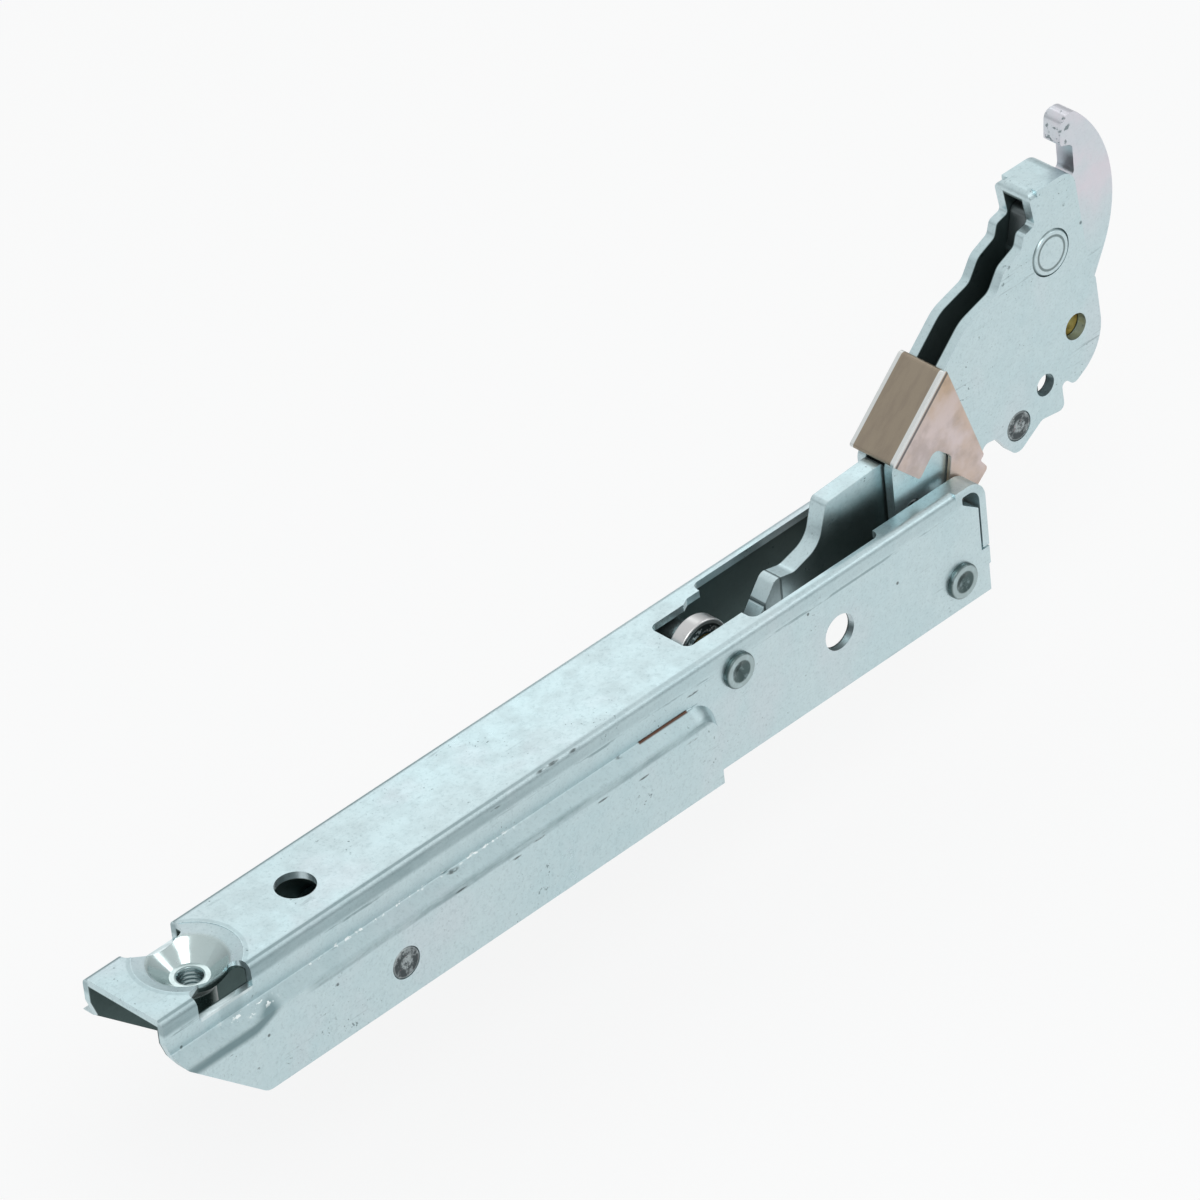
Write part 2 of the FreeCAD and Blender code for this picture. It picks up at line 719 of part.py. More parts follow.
hook = new_body("hook_plate")
blade = new_sketch(hook, "blade_outline", "XZ_Plane")
outline(blade, hook_corners)
pad(hook, blade, "blade", "2 * hook_half", True)
blade_bores = new_sketch(hook, "blade_bores", "XZ_Plane")
circle(blade_bores, "hook_rivet_x", "hook_rivet_z", "hook_rivet_r + fit")
circle(blade_bores, "lock_hole_x", "lock_hole_z", "lock_bush_r + fit")
pocket(hook, blade_bores, "blade_bore_cut", "through", True)
sleeve("lock_bush", "lock_hole_x", "lock_hole_z", "lock_hole_r", "lock_bush_r",
       "-hook_half", "hook_half")
sleeve("pivot_bush", "0", "axle_z", "axle_r + fit", "bush_r", "-(plate_in - fit)", "plate_in - fit")
pin("link_pin", "link_pin_x", "link_pin_z", "link_pin_r", "plate_out")
pin("stop_pin", "stop_pin_x", "stop_pin_z", "stop_pin_r", "plate_out")
turned("hook_rivet", "hook_rivet_x", "hook_rivet_z", (
    ("-(plate_out + slit / 2 - dimple_deep / 2)", "0"),
    ("-(plate_out + slit / 2)", "dimple_r"),
    ("-(plate_out + slit / 2)", "hook_rivet_r - slit"),
    ("-(plate_out - slit / 2)", "hook_rivet_r"),
    ("plate_out - slit / 2", "hook_rivet_r"),
    ("plate_out + slit / 2", "hook_rivet_r - slit"),
    ("plate_out + slit / 2", "dimple_r"),
    ("plate_out + slit / 2 - dimple_deep / 2", "0"),
))

# Cam link: its top edge under the roller follows the roller's path
link = new_body("cam_link")
cam = new_sketch(link, "cam_outline", "XZ_Plane")
outline(cam, cam_corners)
pad(link, cam, "link_blank", "2 * link_half", True)
link_bores = new_sketch(link, "link_bores", "XZ_Plane")
circle(link_bores, "link_pin_x", "link_pin_z", "link_pin_r + fit")
outline(link_bores, (
    ("shackle_front_x - slot_left", "shackle_front_z - slot_low", "shackle_pin_r"),
    ("shackle_front_x + slot_right", "shackle_front_z - slot_low", "shackle_pin_r"),
    ("shackle_front_x + slot_right", "shackle_front_z + slot_high", "shackle_pin_r"),
    ("shackle_front_x - slot_left", "shackle_front_z + slot_high", "shackle_pin_r"),
))
pocket(link, link_bores, "link_bore_cut", "through", True)

# Shackle between the link's slot and the spring
for side, mark in ((1, "far"), (-1, "near")):
    cheek = new_body("shackle_plate_" + mark, "0", "0")
    face = "-shackle_in - shackle_gauge" if side > 0 else "shackle_in"
    cheek_line = new_sketch(cheek, "cheek_outline_" + mark, "XZ_Plane", face)
    outline(cheek_line, (
        ("shackle_front_x + shackle_end_r", "shackle_front_z - shackle_end_r", "shackle_end_r - slit"),
        ("shackle_front_x + shackle_end_r", "shackle_front_z + shackle_end_r", "shackle_end_r - slit"),
        ("shackle_rear_x - shackle_end_r", "anchor_z + shackle_end_r", "shackle_end_r - slit"),
        ("shackle_rear_x - shackle_end_r", "anchor_z - shackle_end_r", "shackle_end_r - slit"),
    ))
    circle(cheek_line, "shackle_front_x", "shackle_front_z", "shackle_pin_r + fit")
    circle(cheek_line, "shackle_rear_x", "anchor_z", "shackle_pin_r + fit")
    pad(cheek, cheek_line, "cheek_blank_" + mark, "shackle_gauge")
pin("shackle_front_pin", "shackle_front_x", "shackle_front_z", "shackle_pin_r", "(shackle_in + shackle_gauge)")
pin("shackle_rear_pin", "shackle_rear_x", "anchor_z", "shackle_pin_r", "(shackle_in + shackle_gauge)")

# Tension spring: a close coil with a full loop at each end, made upright and laid along X
helix = doc.addObject("Part::Helix", "coil_line")
helix.setExpression("Radius", words("coil_r"))
helix.setExpression("Pitch", words("coil_len / turns"))
helix.setExpression("Height", words("coil_len"))
wire = doc.addObject("Part::Circle", "wire_section")
wire.setExpression("Radius", words("wire_r"))
wire.setExpression("Placement.Base.x", words("coil_r"))
wire.Placement.Rotation = FreeCAD.Rotation(FreeCAD.Vector(1, 0, 0), 90)
coil = doc.addObject("Part::Sweep", "coil_body")
coil.Sections = [wire]
coil.Spine = (helix, [])
coil.Solid = True
coil.Frenet = True
ends_of_wire = [coil]
for mark, base, way in (("low", "0", "-loop_gap"), ("high", "coil_len", "loop_gap")):
    loop = doc.addObject("Part::Torus", "loop_" + mark)
    loop.setExpression("Radius1", words("coil_r"))
    loop.setExpression("Radius2", words("wire_r"))
    loop.Placement.Rotation = FreeCAD.Rotation(FreeCAD.Vector(1, 0, 0), 90)
    loop.setExpression("Placement.Base.z", words(base + " + " + way))
    leg = doc.addObject("Part::Cylinder", "leg_" + mark)
    leg.setExpression("Radius", words("wire_r"))
    leg.setExpression("Height", words("loop_gap"))
    leg.setExpression("Placement.Base.x", words("coil_r"))
    leg.setExpression("Placement.Base.z", words("-loop_gap" if mark == "low" else "coil_len"))
    knot = doc.addObject("Part::Sphere", "knot_" + mark)
    knot.setExpression("Radius", words("wire_r * knot_swell"))
    knot.setExpression("Placement.Base.x", words("coil_r"))
    knot.setExpression("Placement.Base.z", words(base))
    joined = doc.addObject("Part::MultiFuse", "spring_end_" + mark)
    joined.Shapes = [loop, leg, knot]
    ends_of_wire.append(joined)
spring = doc.addObject("Part::MultiFuse", "tension_spring")
spring.Label = "tension_spring"
spring.Shapes = ends_of_wire
spring.Placement.Rotation = FreeCAD.Rotation(FreeCAD.Vector(0, 1, 0), 90)
spring.setExpression("Placement.Base.x", words("pivot_x + loop_left_x + loop_gap"))
spring.setExpression("Placement.Base.z", words("anchor_z"))

# Lock clip: a folded sheet saddle on the main axle
clip = new_body("lock_clip")
flank = new_sketch(clip, "flank_outline", "XZ_Plane")
outline(flank, clip_corners)
pad(clip, flank, "flank_pair", "2 * clip_out", True)
hollow = new_sketch(clip, "hollow_outline", "XZ_Plane")
outline(hollow, (
    ("clip_crease_x + crease_dx - clip_top_x + clip_crease_x", "clip_crease_z - crease_dz - clip_top_z + clip_crease_z"),
    ("clip_top_x + crease_dx + clip_top_x - clip_crease_x", "clip_top_z - crease_dz + clip_top_z - clip_crease_z"),
    ("through", "-gauge"),
    ("-through / 2", "-gauge"),
))
pocket(clip, hollow, "hollow_cut", "2 * clip_in", True)
clip_bore = new_sketch(clip, "clip_bore", "XZ_Plane")
circle(clip_bore, "0", "axle_z", "axle_r + fit")
pocket(clip, clip_bore, "clip_bore_cut", "through", True)
doc.recompute()

NODES = (
    "door_channel", "main_axle", "axle_spacer_near", "axle_spacer_far",
    "roller_axle", "roller_spacer_near", "roller_spacer_far",
    "spring_anchor_pin", "anchor_sleeve_near", "anchor_sleeve_far", "tension_spring",
    "roller", "roller_bush", "lever_bracket", "hook_plate", "hook_rivet", "stop_pin",
    "link_pin", "lock_bush", "pivot_bush", "cam_link", "shackle_plate_near",
    "shackle_plate_far", "shackle_front_pin", "shackle_rear_pin", "lock_clip",
)
for item in doc.Objects:
    if "Invalid" in item.State or "Error" in item.State:
        raise ValueError(item.Name + " failed: " + ", ".join(item.State))
os.makedirs("parts", exist_ok=True)
for node in NODES:
    found = doc.getObjectsByLabel(node)[0]
    shape = found.Shape
    if shape.isNull() or not shape.isValid() or not shape.Solids:
        raise ValueError(node + " has no valid shape")
    shape.exportStep("parts/" + node + ".step")
    print(node, len(shape.Solids), round(shape.Volume, 1))
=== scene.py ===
import math

import bpy
from mathutils import Matrix, Vector


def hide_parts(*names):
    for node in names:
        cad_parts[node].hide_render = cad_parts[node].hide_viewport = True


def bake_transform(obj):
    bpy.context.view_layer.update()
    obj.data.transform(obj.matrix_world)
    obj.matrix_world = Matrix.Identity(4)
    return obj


bl_info = {
    "name": "Oven door hinge",
    "version": (1, 0, 0),
    "blender": (4, 5, 0),
    "location": "View3D > Sidebar > Hinge",
    "description": "Finishes and studio for a zinc plated oven door hinge",
    "category": "Object",
}

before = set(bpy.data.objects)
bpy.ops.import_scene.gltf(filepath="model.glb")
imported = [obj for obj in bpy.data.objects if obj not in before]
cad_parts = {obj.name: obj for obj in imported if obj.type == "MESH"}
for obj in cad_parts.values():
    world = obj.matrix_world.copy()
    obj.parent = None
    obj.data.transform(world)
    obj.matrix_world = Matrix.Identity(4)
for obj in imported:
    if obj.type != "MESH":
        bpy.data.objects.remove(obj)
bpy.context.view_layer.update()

# Lengths are in millimetres where nothing else is said. X is counted from the main pivot, Y from
# the middle plane and Z from the channel's open edge. Shares run from 0 to 1.
MM = 0.001
PIVOT_X = 65.85

SHACKLE_NODES = ("shackle_plate_near", "shackle_plate_far")
SPACER_NODES = (
    "axle_spacer_near", "axle_spacer_far", "roller_spacer_near", "roller_spacer_far",
    "anchor_sleeve_near", "anchor_sleeve_far",
)
PIN_NODES = ("link_pin", "shackle_front_pin", "shackle_rear_pin")
BUSH_NODES = ("lock_bush", "pivot_bush", "roller_bush")

# Channel: heights of its web and pressed step, and half widths of its walls
WEB_TOP = 23.3
WEB_UNDER = 21.8
LEDGE_TOP = 16.3
LEDGE_FOOT = 14.5
WALL_OUT = 9.54
WALL_IN = 8.04
FLANGE_SHIFT = 2.7
FLARE_HEIGHTS = (12.6, 15.4)
FLARE_END = (-65.0, -63.0)

# Channel: the screw's axis, and radii and heights of the dish, the cone and the thread
SCREW_X = -167.5
THREAD_PITCH = 0.8
DISH_RADIUS = 6.9
DISH_RING = 9.5
BORE_RADIUS = 2.4
BORE_EDGE = (2.7, 3.0)
CONE_FOOT = 16.2
CONE_SLOPE = 0.94

# Channel: places of its marks, of its painted shade and of its painted highlights. A run is where
# a mark lies, and a fade where it comes or goes.
BEND_HEIGHTS = (20.4, 22.7)
BEND_DEPTHS = (7.9, 8.6)
FOLD_Y = 8.6
DRAWN_Z = 19.9
DRAWN_DEPTHS = (9.2, 9.5)
TAIL_FADE = (-125.0, -60.0)
LEDGE_START = (-155.0, -150.0)
LEDGE_END = (-62.0, -60.0)
RUST_RUN = (-76.0, -64.8)
RUST_DEPTHS = (9.9, 10.3)
# Where the painted highlights along the crease lie
HIGHLIGHT_RUN = (-155.0, -105.0)
LUMP_FADE = (-162.0, -158.5)
LUMP_SWELL = (-166.0, -159.0)
LUMP_HEIGHTS = (12.2, 14.2)
GLINT_RUN = (-170.0, -159.5)
GLINT_HEIGHTS = (15.2, 16.6)
LIP_RUN = (-173.8, -162.8)
LIP_Z = 19.0
LIP_DEPTHS = (8.2, 8.4)
SCREW_END = (-156.0, -154.0)
OPEN_END = (2.0, 4.0)
# Channel: where painted shade darkens its inner walls
SHADE_WALLS = (7.7, 7.9)
SHADE_FADE = (-172.0, -160.0)
SHADE_START = (-157.0, -155.0)
END_PIPS = ((0.6, 21.0, 0.7), (0.5, 16.4, 0.6))

# Lever, hook plate, link and clip
PLATE_IN = 2.1
TOP_WEB_UNDER = 64.8
CLAW_HEIGHTS = (44.0, 62.0)
SHEARED_HEIGHTS = (69.0, 71.0)
SHEARED_END = (40.5, 41.5)
PLATE_EDGE = (30.5, 32.0)
LINK_HALF = 1.75
PAD_RUN = (-38.2, -34.1)
PAD_HEIGHTS = (13.0, 15.0)
# Link: where painted shade lies low on its flat sides
LINK_SHADE_HEIGHTS = (24.0, 33.0)
LINK_SHADE_START = (-38.0, -24.0)
CLIP_EDGE = (4.6, 45.2)
CLIP_NORMAL = (-0.666, 0.746)
CLIP_IN = 4.35
CLIP_OUT = 5.1
CLIP_FOLD = (-0.9, -0.6)
CLIP_DARK_LINE = (-1.5, -0.95)
CHEEK_FADE = (44.0, 30.0)

# Axes of pins, rivets and the roller, as X and Z
MAIN_AXLE = (0.0, 5.7)
ROLLER_AXLE = (-52.5, 17.6)
ANCHOR_PIN = (-132.9, 6.8)
HOOK_RIVET = (32.2, 53.1)
STOP_PIN = (21.6, 23.2)
HEAD_RING = (2.05, 3.05)
ANCHOR_RADIUS = 2.95
STOP_RADIUS = 2.8
RIVET_RING = 3.15
RIVET_EDGE = 4.0
ROLLER_RIM = 5.0
ROLLER_BALLS = (3.6, 4.7)

# Small marks, as X and Z, with their radii. Dashes are round marks squashed along X.
DASH_SQUASH = 0.16
DASH_RADIUS = 0.27
WALL_DASHES = (
    (-97.0, 22.9), (-94.5, 22.9), (-108.0, 21.9), (-89.5, 22.8), (-63.0, 18.7),
    (-119.0, 16.0), (-80.0, 16.2), (-87.5, 12.6), (-66.6, 12.4), (-101.8, 13.4),
    (-107.4, 12.6), (-119.6, 13.6), (-77.8, 11.6),
)
LEVER_NICK_RADIUS = 0.45
LEVER_NICKS = (
    (30.1, 63.6), (22.2, 55.4), (20.5, 52.9), (36.1, 60.7), (41.2, 47.0), (39.8, 55.1),
)
WALL_NICK_RADIUS = 0.42
WALL_NICKS = (
    (-14.8, 13.6), (-35.7, 19.2), (-147.6, 11.4), (-162.9, 10.5), (-165.9, 5.5),
    (-178.6, 16.6),
)

# Shares of metal and heights of bumps
ZINC_METAL = 0.88
FINE_BUMP = 0.04
SKIN_BUMP = 0.05
FORMED_BUMP = 0.06
DEEP_BUMP = 0.08
END_BUMP = 0.1

# Spring: how far its loops go round, and how finely its wire is drawn
LOOP_TURN = 335.0
LOOP_STEPS = 16
TURN_STEPS = 18
LEG_LEAD = 2.4

# Stage: the photograph's frame in pixels, the camera's sensor and reach, the floor and how much
# of it glows for each kind of ray, and the world's light by height
FRAME_PIXELS = 1200.0
SENSOR = 36.0
CAMERA_REACH = (50.0, 20000.0)
FLOOR_Z = -36.0
FLOOR_HALF = 3000.0
FLOOR_TONE = (0.91, 0.91, 0.91, 1.0)
FLOOR_GLOW = 0.82
FLOOR_GLOSSY_GLOW = 0.56
WORLD_GLOSSY_WHITE = 0.4
WORLD_STRENGTH = 0.8
WHITE = (1.0, 1.0, 1.0, 1.0)
WORLD_STOPS = (
    (0.0, (0.10, 0.13, 0.14, 1.0)), (0.52, (0.05, 0.08, 0.09, 1.0)),
    (0.62, (0.30, 0.34, 0.35, 1.0)), (0.78, (0.80, 0.84, 0.85, 1.0)), (1.0, WHITE),
)


def place(x, y, z):
    """A point given from the main pivot in millimetres, in the row frame."""
    return Vector(((x + PIVOT_X) * MM, y * MM, z * MM))


class Value:
    """A socket that Python's operators work on. Each operator adds one Math node."""

    def __init__(self, recipe, socket):
        self.recipe = recipe
        self.socket = socket

    def _math(self, operation, first, second=0.0):
        sockets = {0: first, 1: second}
        return self.recipe.node("ShaderNodeMath", {"operation": operation}, sockets)

    def __add__(self, other):
        return self._math("ADD", self, other)

    __radd__ = __add__

    def __sub__(self, other):
        return self._math("SUBTRACT", self, other)

    def __rsub__(self, other):
        return self._math("SUBTRACT", other, self)

    def __mul__(self, other):
        return self._math("MULTIPLY", self, other)

    __rmul__ = __mul__

    def __truediv__(self, other):
        return self._math("DIVIDE", self, other)

    def __rtruediv__(self, other):
        return self._math("DIVIDE", other, self)

    def __pow__(self, other):
        return self._math("POWER", self, other)

    def __rpow__(self, other):
        return self._math("POWER", other, self)

    def lowest(self, other):
        return self._math("MINIMUM", self, other)

    def highest(self, other):
        return self._math("MAXIMUM", self, other)

    def off(self, spot):
        """Distance from a spot, without a sign."""
        return self._math("ABSOLUTE", self - spot)

    def wave(self):
        return self._math("SINE", self)

    def band(self, low, high):
        """0 below low, 1 above high, smooth between."""
        sockets = {"Value": self, "From Min": low, "From Max": high}
        settings = {"interpolation_type": "SMOOTHSTEP"}
        return self.recipe.node("ShaderNodeMapRange", settings, sockets)

    def fall(self, low, high):
        """1 below low, 0 above high, smooth between."""
        return 1.0 - self.band(low, high)

    def line(self, spot, half):
        """1 on the spot, falling to 0 at half a width away."""
        return self.off(spot).fall(half * 0.4, half)

    def span(self, low, high, soft):
        """1 between low and high, with soft ends."""
        return self.band(low - soft, low + soft) * self.fall(high - soft, high + soft)


class Recipe:
    """The node tree of one material or world, built by node()."""

    def __init__(self, owner):
        self.owner = owner
        owner.use_nodes = True
        self.tree = owner.node_tree
        self.tree.nodes.clear()

    def node(self, kind, settings=None, sockets=None, out=0):
        """Adds a node, and returns its output, or a list of outputs for a tuple of names."""
        made = self.tree.nodes.new(kind)
        for name, setting in (settings or {}).items():
            if name == "stops":
                self._stops(made, setting)
            else:
                setattr(made, name, setting)
        for key, given in (sockets or {}).items():
            socket = made.inputs[key]
            if isinstance(given, Value):
                self.tree.links.new(given.socket, socket)
            else:
                socket.default_value = given
        if not made.outputs:
            return None
        if isinstance(out, tuple):
            return [Value(self, made.outputs[key]) for key in out]
        return Value(self, made.outputs[out])

    @staticmethod
    def _stops(ramp, stops):
        band = ramp.color_ramp.elements
        while len(band) < len(stops):
            band.new(0.5)
        for slot, (spot, tone) in zip(band, stops):
            slot.position = spot
            slot.color = tone

    def where(self):
        """X, Y and Z of the surface from the main pivot, in millimetres."""
        at = self.node("ShaderNodeTexCoord", out="Object")
        x, y, z = self.node("ShaderNodeSeparateXYZ", {}, {"Vector": at}, out=("X", "Y", "Z"))
        return x / MM - PIVOT_X, y / MM, z / MM

    @staticmethod
    def reach(first, second):
        """Distance of a point from an axis, from its two offsets."""
        return (first * first + second * second) ** 0.5

    def spots(self, across, up, size, places):
        """Small round marks at places given from the main pivot."""
        first, *others = [
            self.reach(across - x, up - z).line(0.0, size) for x, z in places]
        return sum(others, first).lowest(1.0)

    def noise(self, scale, detail=4.0, rough=0.55, stretch=(1.0, 1.0, 1.0)):
        """Noise over the surface, whose features grow along an axis with a small stretch."""
        at = self.node("ShaderNodeTexCoord", out="Object")
        at = self.node("ShaderNodeMapping", {}, {"Vector": at, "Scale": stretch})
        sockets = {"Vector": at, "Scale": scale, "Detail": detail, "Roughness": rough}
        return self.node("ShaderNodeTexNoise", {}, sockets)

    def mix(self, share, first, second):
        sockets = {"Factor": share, 6: first, 7: second}
        return self.node("ShaderNodeMix", {"data_type": "RGBA"}, sockets, out=2)

    def coats(self, base, *layers):
        """Lays colours over a base, each by its share."""
        for share, tone in layers:
            base = self.mix(share, base, tone[:])
        return base

    def seen(self, kind):
        return self.node("ShaderNodeLightPath", out=kind)

    def mixed(self, kind, share, first, second):
        """Ends the tree with a share of the second shader over the first."""
        both = self.node("ShaderNodeMixShader", {}, {0: share, 1: first, 2: second})
        self.node(kind, {}, {"Surface": both})

    def metal(self, tone, rough, height, strength, depth, metallic=ZINC_METAL):
        """Ends the tree as metal with a bump, and returns the material."""
        bump = {"Height": height, "Strength": strength, "Distance": depth * MM}
        sockets = {
            "Base Color": tone, "Metallic": metallic, "Roughness": rough,
            "Normal": self.node("ShaderNodeBump", {}, bump),
        }
        shader = self.node("ShaderNodeBsdfPrincipled", {}, sockets)
        self.node("ShaderNodeOutputMaterial", {}, {"Surface": shader})
        return self.owner


def new_recipe(name):
    """The recipe of a new material."""
    return Recipe(bpy.data.materials.new(name))


def plating(r, look):
    """Zinc plating's colour, roughness and height: clouds, pink drift, specks and scratches."""
    cloud = r.noise(42.0).band(0.3, 0.7)
    patch = r.noise(230.0, 6.0, 0.7).band(0.38, 0.72)
    drift = r.noise(75.0, 3.0, 0.5, (1.0, 1.0, 0.6)).band(0.52, 0.72)
    specked = r.noise(110.0, 3.0).band(0.5, 0.68)
    speck = r.noise(1500.0, 2.0, 0.5).band(0.66, 0.72) * specked
    drag = r.noise(1100.0, 3.0, 0.6, (0.05, 1.0, 1.0)).band(0.62, 0.74) * specked
    coarse_pepper = r.noise(900.0, 4.0, 0.7).band(0.3, 0.75)
    fine_pepper = r.noise(2000.0, 2.0, 0.6).band(0.5, 0.72)
    coloured = r.coats(
        r.mix(cloud * 0.6 + 0.2, look.zinc_cool[:], look.zinc_warm[:]),
        (patch * 0.24, look.zinc_pale), (drift * look.pink_share, look.zinc_pink),
        (speck * 0.7, look.zinc_speck), (drag * 0.35, look.zinc_speck),
        (coarse_pepper * 0.1 + fine_pepper * 0.16, look.zinc_shade_and_marks))
    rough = 0.27 + cloud * 0.06 + patch * 0.1 + speck * 0.2 + drag * 0.12
    grain = r.noise(2600.0, 3.0, 0.6) * 0.5 + r.noise(500.0, 3.0) * 0.5
    return coloured, rough, grain - speck * 0.5 - drag * 0.6


def zinc_plate(look):
    """Pale blue zinc plating of the shackle."""
    r = new_recipe("zinc_plate")
    plated, rough, height = plating(r, look)
    return r.metal(plated, rough, height, look.skin_depth, SKIN_BUMP)


def zinc_lever(look):
    """The lever's plating: painted shade between its plates, with dark nicks near the edges."""
    r = new_recipe("zinc_lever")
    plated, rough, height = plating(r, look)
    x, y, z = r.where()
    # Painted shade between the plates, under the top web
    between = y.off(0.0).fall(PLATE_IN + 0.05, PLATE_IN + 0.25)
    shaded_inside = between * z.fall(TOP_WEB_UNDER + 0.2, TOP_WEB_UNDER + 0.7)
    nicks = r.spots(x, z, LEVER_NICK_RADIUS, LEVER_NICKS)
    broken = nicks * r.noise(900.0, 3.0, 0.6).band(0.3, 0.55)
    coloured = r.coats(plated, (broken * 0.85, look.zinc_speck), (shaded_inside * 0.85, look.inside_shade))
    raised = height - broken * 1.5
    return r.metal(coloured, rough + shaded_inside * 0.15, raised, look.skin_depth, FORMED_BUMP)


def ledge_marks(r, x, z, side, near):
    """Painted shade on the bends, the fold, the slanted face and foot of the pressed step and the
    swelling at its left end, broken by dark dashes and tears; painted highlights along the crease,
    the lip and the facets; and rust on the step.
    """
    outside = side.band(WALL_OUT - 0.54, WALL_OUT - 0.14)
    beyond = side.band(WALL_OUT - 0.04, WALL_OUT + 0.26)
    tail = x.fall(*TAIL_FADE)
    ledge = x.band(*LEDGE_START) * x.fall(*LEDGE_END)
    dashes = r.noise(420.0, 4.0, 0.7, (DASH_SQUASH, 1.0, 1.0))

    # Painted shade along the bends and the fold, broken by dark dashes
    bend = z.span(*BEND_HEIGHTS, 0.5) * side.band(*BEND_DEPTHS)
    fold = side.line(FOLD_Y, 0.35) * z.band(WEB_TOP - 0.4, WEB_TOP - 0.2) * tail * 0.6
    bend_shade_and_dashes = bend * (tail * 0.42 + 0.14) * (0.4 + dashes * 1.1) + fold
    drawn = z.line(DRAWN_Z, 0.35) * side.band(*DRAWN_DEPTHS) * dashes.band(0.5, 0.62) * 0.6
    # Painted shade along the foot of the step, with dark dashes
    foot = z.line(LEDGE_FOOT - 0.5, 0.95) * ledge * (0.35 + dashes.band(0.4, 0.65) * 0.5)
    crease = z.line(LEDGE_TOP + 0.1, 0.4) * outside * ledge
    torn = crease * dashes.band(0.56, 0.64)
    # Painted shade on the slanted face of the step and on the swelling at the left end
    slope_shade = z.span(LEDGE_FOOT, LEDGE_TOP, 0.25) * beyond * (0.1 + tail * 0.14)
    swell = z - x.band(*LUMP_SWELL) * 1.8
    lump_shade = swell.span(*LUMP_HEIGHTS, 0.7) * x.fall(*LUMP_FADE) * near * beyond
    lump_shade = lump_shade * (0.65 + dashes * 0.5)
    dark = (bend_shade_and_dashes + drawn + foot * 0.75 + torn * 0.7 + slope_shade + lump_shade).lowest(0.9)

    # Painted highlights: glints on the facets, bright dashes along the crease and a bright line
    # along the lip
    glint = z.span(*GLINT_HEIGHTS, 0.3) * x.span(*GLINT_RUN, 1.5) * near * outside
    dots = r.noise(1300.0, 2.0, 0.5, (0.7, 1.0, 1.0)).band(0.57, 0.64)
    lip = z.line(LIP_Z, 0.5) * x.span(*LIP_RUN, 0.2) * side.band(*LIP_DEPTHS) * 0.5
    highlight = (crease * x.span(*HIGHLIGHT_RUN, 6.0) + glint) * dots + lip
    rust = z.line(LEDGE_TOP, 0.3) * x.span(*RUST_RUN, 0.2) * near * side.fall(*RUST_DEPTHS)
    return dark, highlight.lowest(1.0), rust, torn, foot


def wall_nicks(r, x, z, side, near):
    """Torn nicks and dashes on the near wall."""
    squashed = [(along * DASH_SQUASH, up) for along, up in WALL_DASHES]
    nicks = r.spots(x, z, WALL_NICK_RADIUS, WALL_NICKS)
    marks = nicks + r.spots(x * DASH_SQUASH, z, DASH_RADIUS, squashed)
    broken = r.noise(900.0, 3.0, 0.6, (0.5, 1.0, 1.0)).band(0.38, 0.55)
    return (marks * near * side.band(8.6, 9.0) * broken).lowest(1.0)


def channel_shade(x, z, side, out):
    """1 where painted shade darkens the channel's inner faces and the underside of the cone. Out
    is the distance from the screw.
    """
    flared = z.fall(*FLARE_HEIGHTS) * x.fall(*FLARE_END) * FLANGE_SHIFT
    hidden = (side - flared).fall(WALL_IN + 0.11, WALL_IN + 0.36)
    hidden = hidden * z.fall(WEB_UNDER + 0.05, WEB_UNDER + 0.2) * x.fall(*OPEN_END)
    below = (z - out * CONE_SLOPE - CONE_FOOT).fall(-0.9, -0.6) * out.band(*BORE_EDGE)
    walls = side.band(*SHADE_WALLS) * (0.4 + x.band(*SHADE_FADE) * 0.6)
    return hidden * (x.band(*SHADE_START) + walls + below).lowest(1.0)


def zinc_channel(look):
    """The channel's plating: painted shade on the bends, the step and the inner faces, painted
    highlights, a creased step, a polished dish and a cut thread.
    """
    r = new_recipe("zinc_channel")
    plated, rough, height = plating(r, look)
    x, y, z = r.where()
    side = y.off(0.0)
    near = y.fall(-1.0, 1.0)
    dark, highlight, rust, torn, foot = ledge_marks(r, x, z, side, near)
    nicks = wall_nicks(r, x, z, side, near)

    out = r.reach(x - SCREW_X, y)
    near_end = x.fall(*SCREW_END)
    polish = out.fall(DISH_RADIUS - 0.3, DISH_RADIUS + 0.3) * near_end
    bore = out.fall(BORE_RADIUS - 0.2, BORE_RADIUS + 0.2) * near_end
    ring = out.line(DISH_RING, 0.5) * near_end
    shaded_inside = channel_shade(x, z, side, out)
    # Painted shade in the screw's bore and on the inner faces, and a darker ring round the dish
    coloured = r.coats(
        plated, (dark, look.zinc_shade_and_marks), (nicks * 0.75, look.torn_dark),
        (highlight, look.zinc_highlight), (rust, look.rust_line), (polish * 0.75, look.dish_bright),
        (bore * 0.5 + ring * 0.25, look.zinc_shade_and_marks), (shaded_inside * 0.92, look.inside_shade))

    thread = (z * (2.0 * math.pi / THREAD_PITCH)).wave() * bore
    first, second = (r.reach(x - px, z - pz).line(0.0, size) for px, pz, size in END_PIPS)
    raised = height * (1.0 - polish * 0.8) - (torn + rust) * 1.5 - foot * 0.8
    raised = raised + thread * 6.0 + (first + second) * 3.0
    smooth = (rough - polish * 0.16 + dark * 0.08 + shaded_inside * 0.15).highest(0.1)
    return r.metal(coloured, smooth, raised, look.skin_depth, FORMED_BUMP)


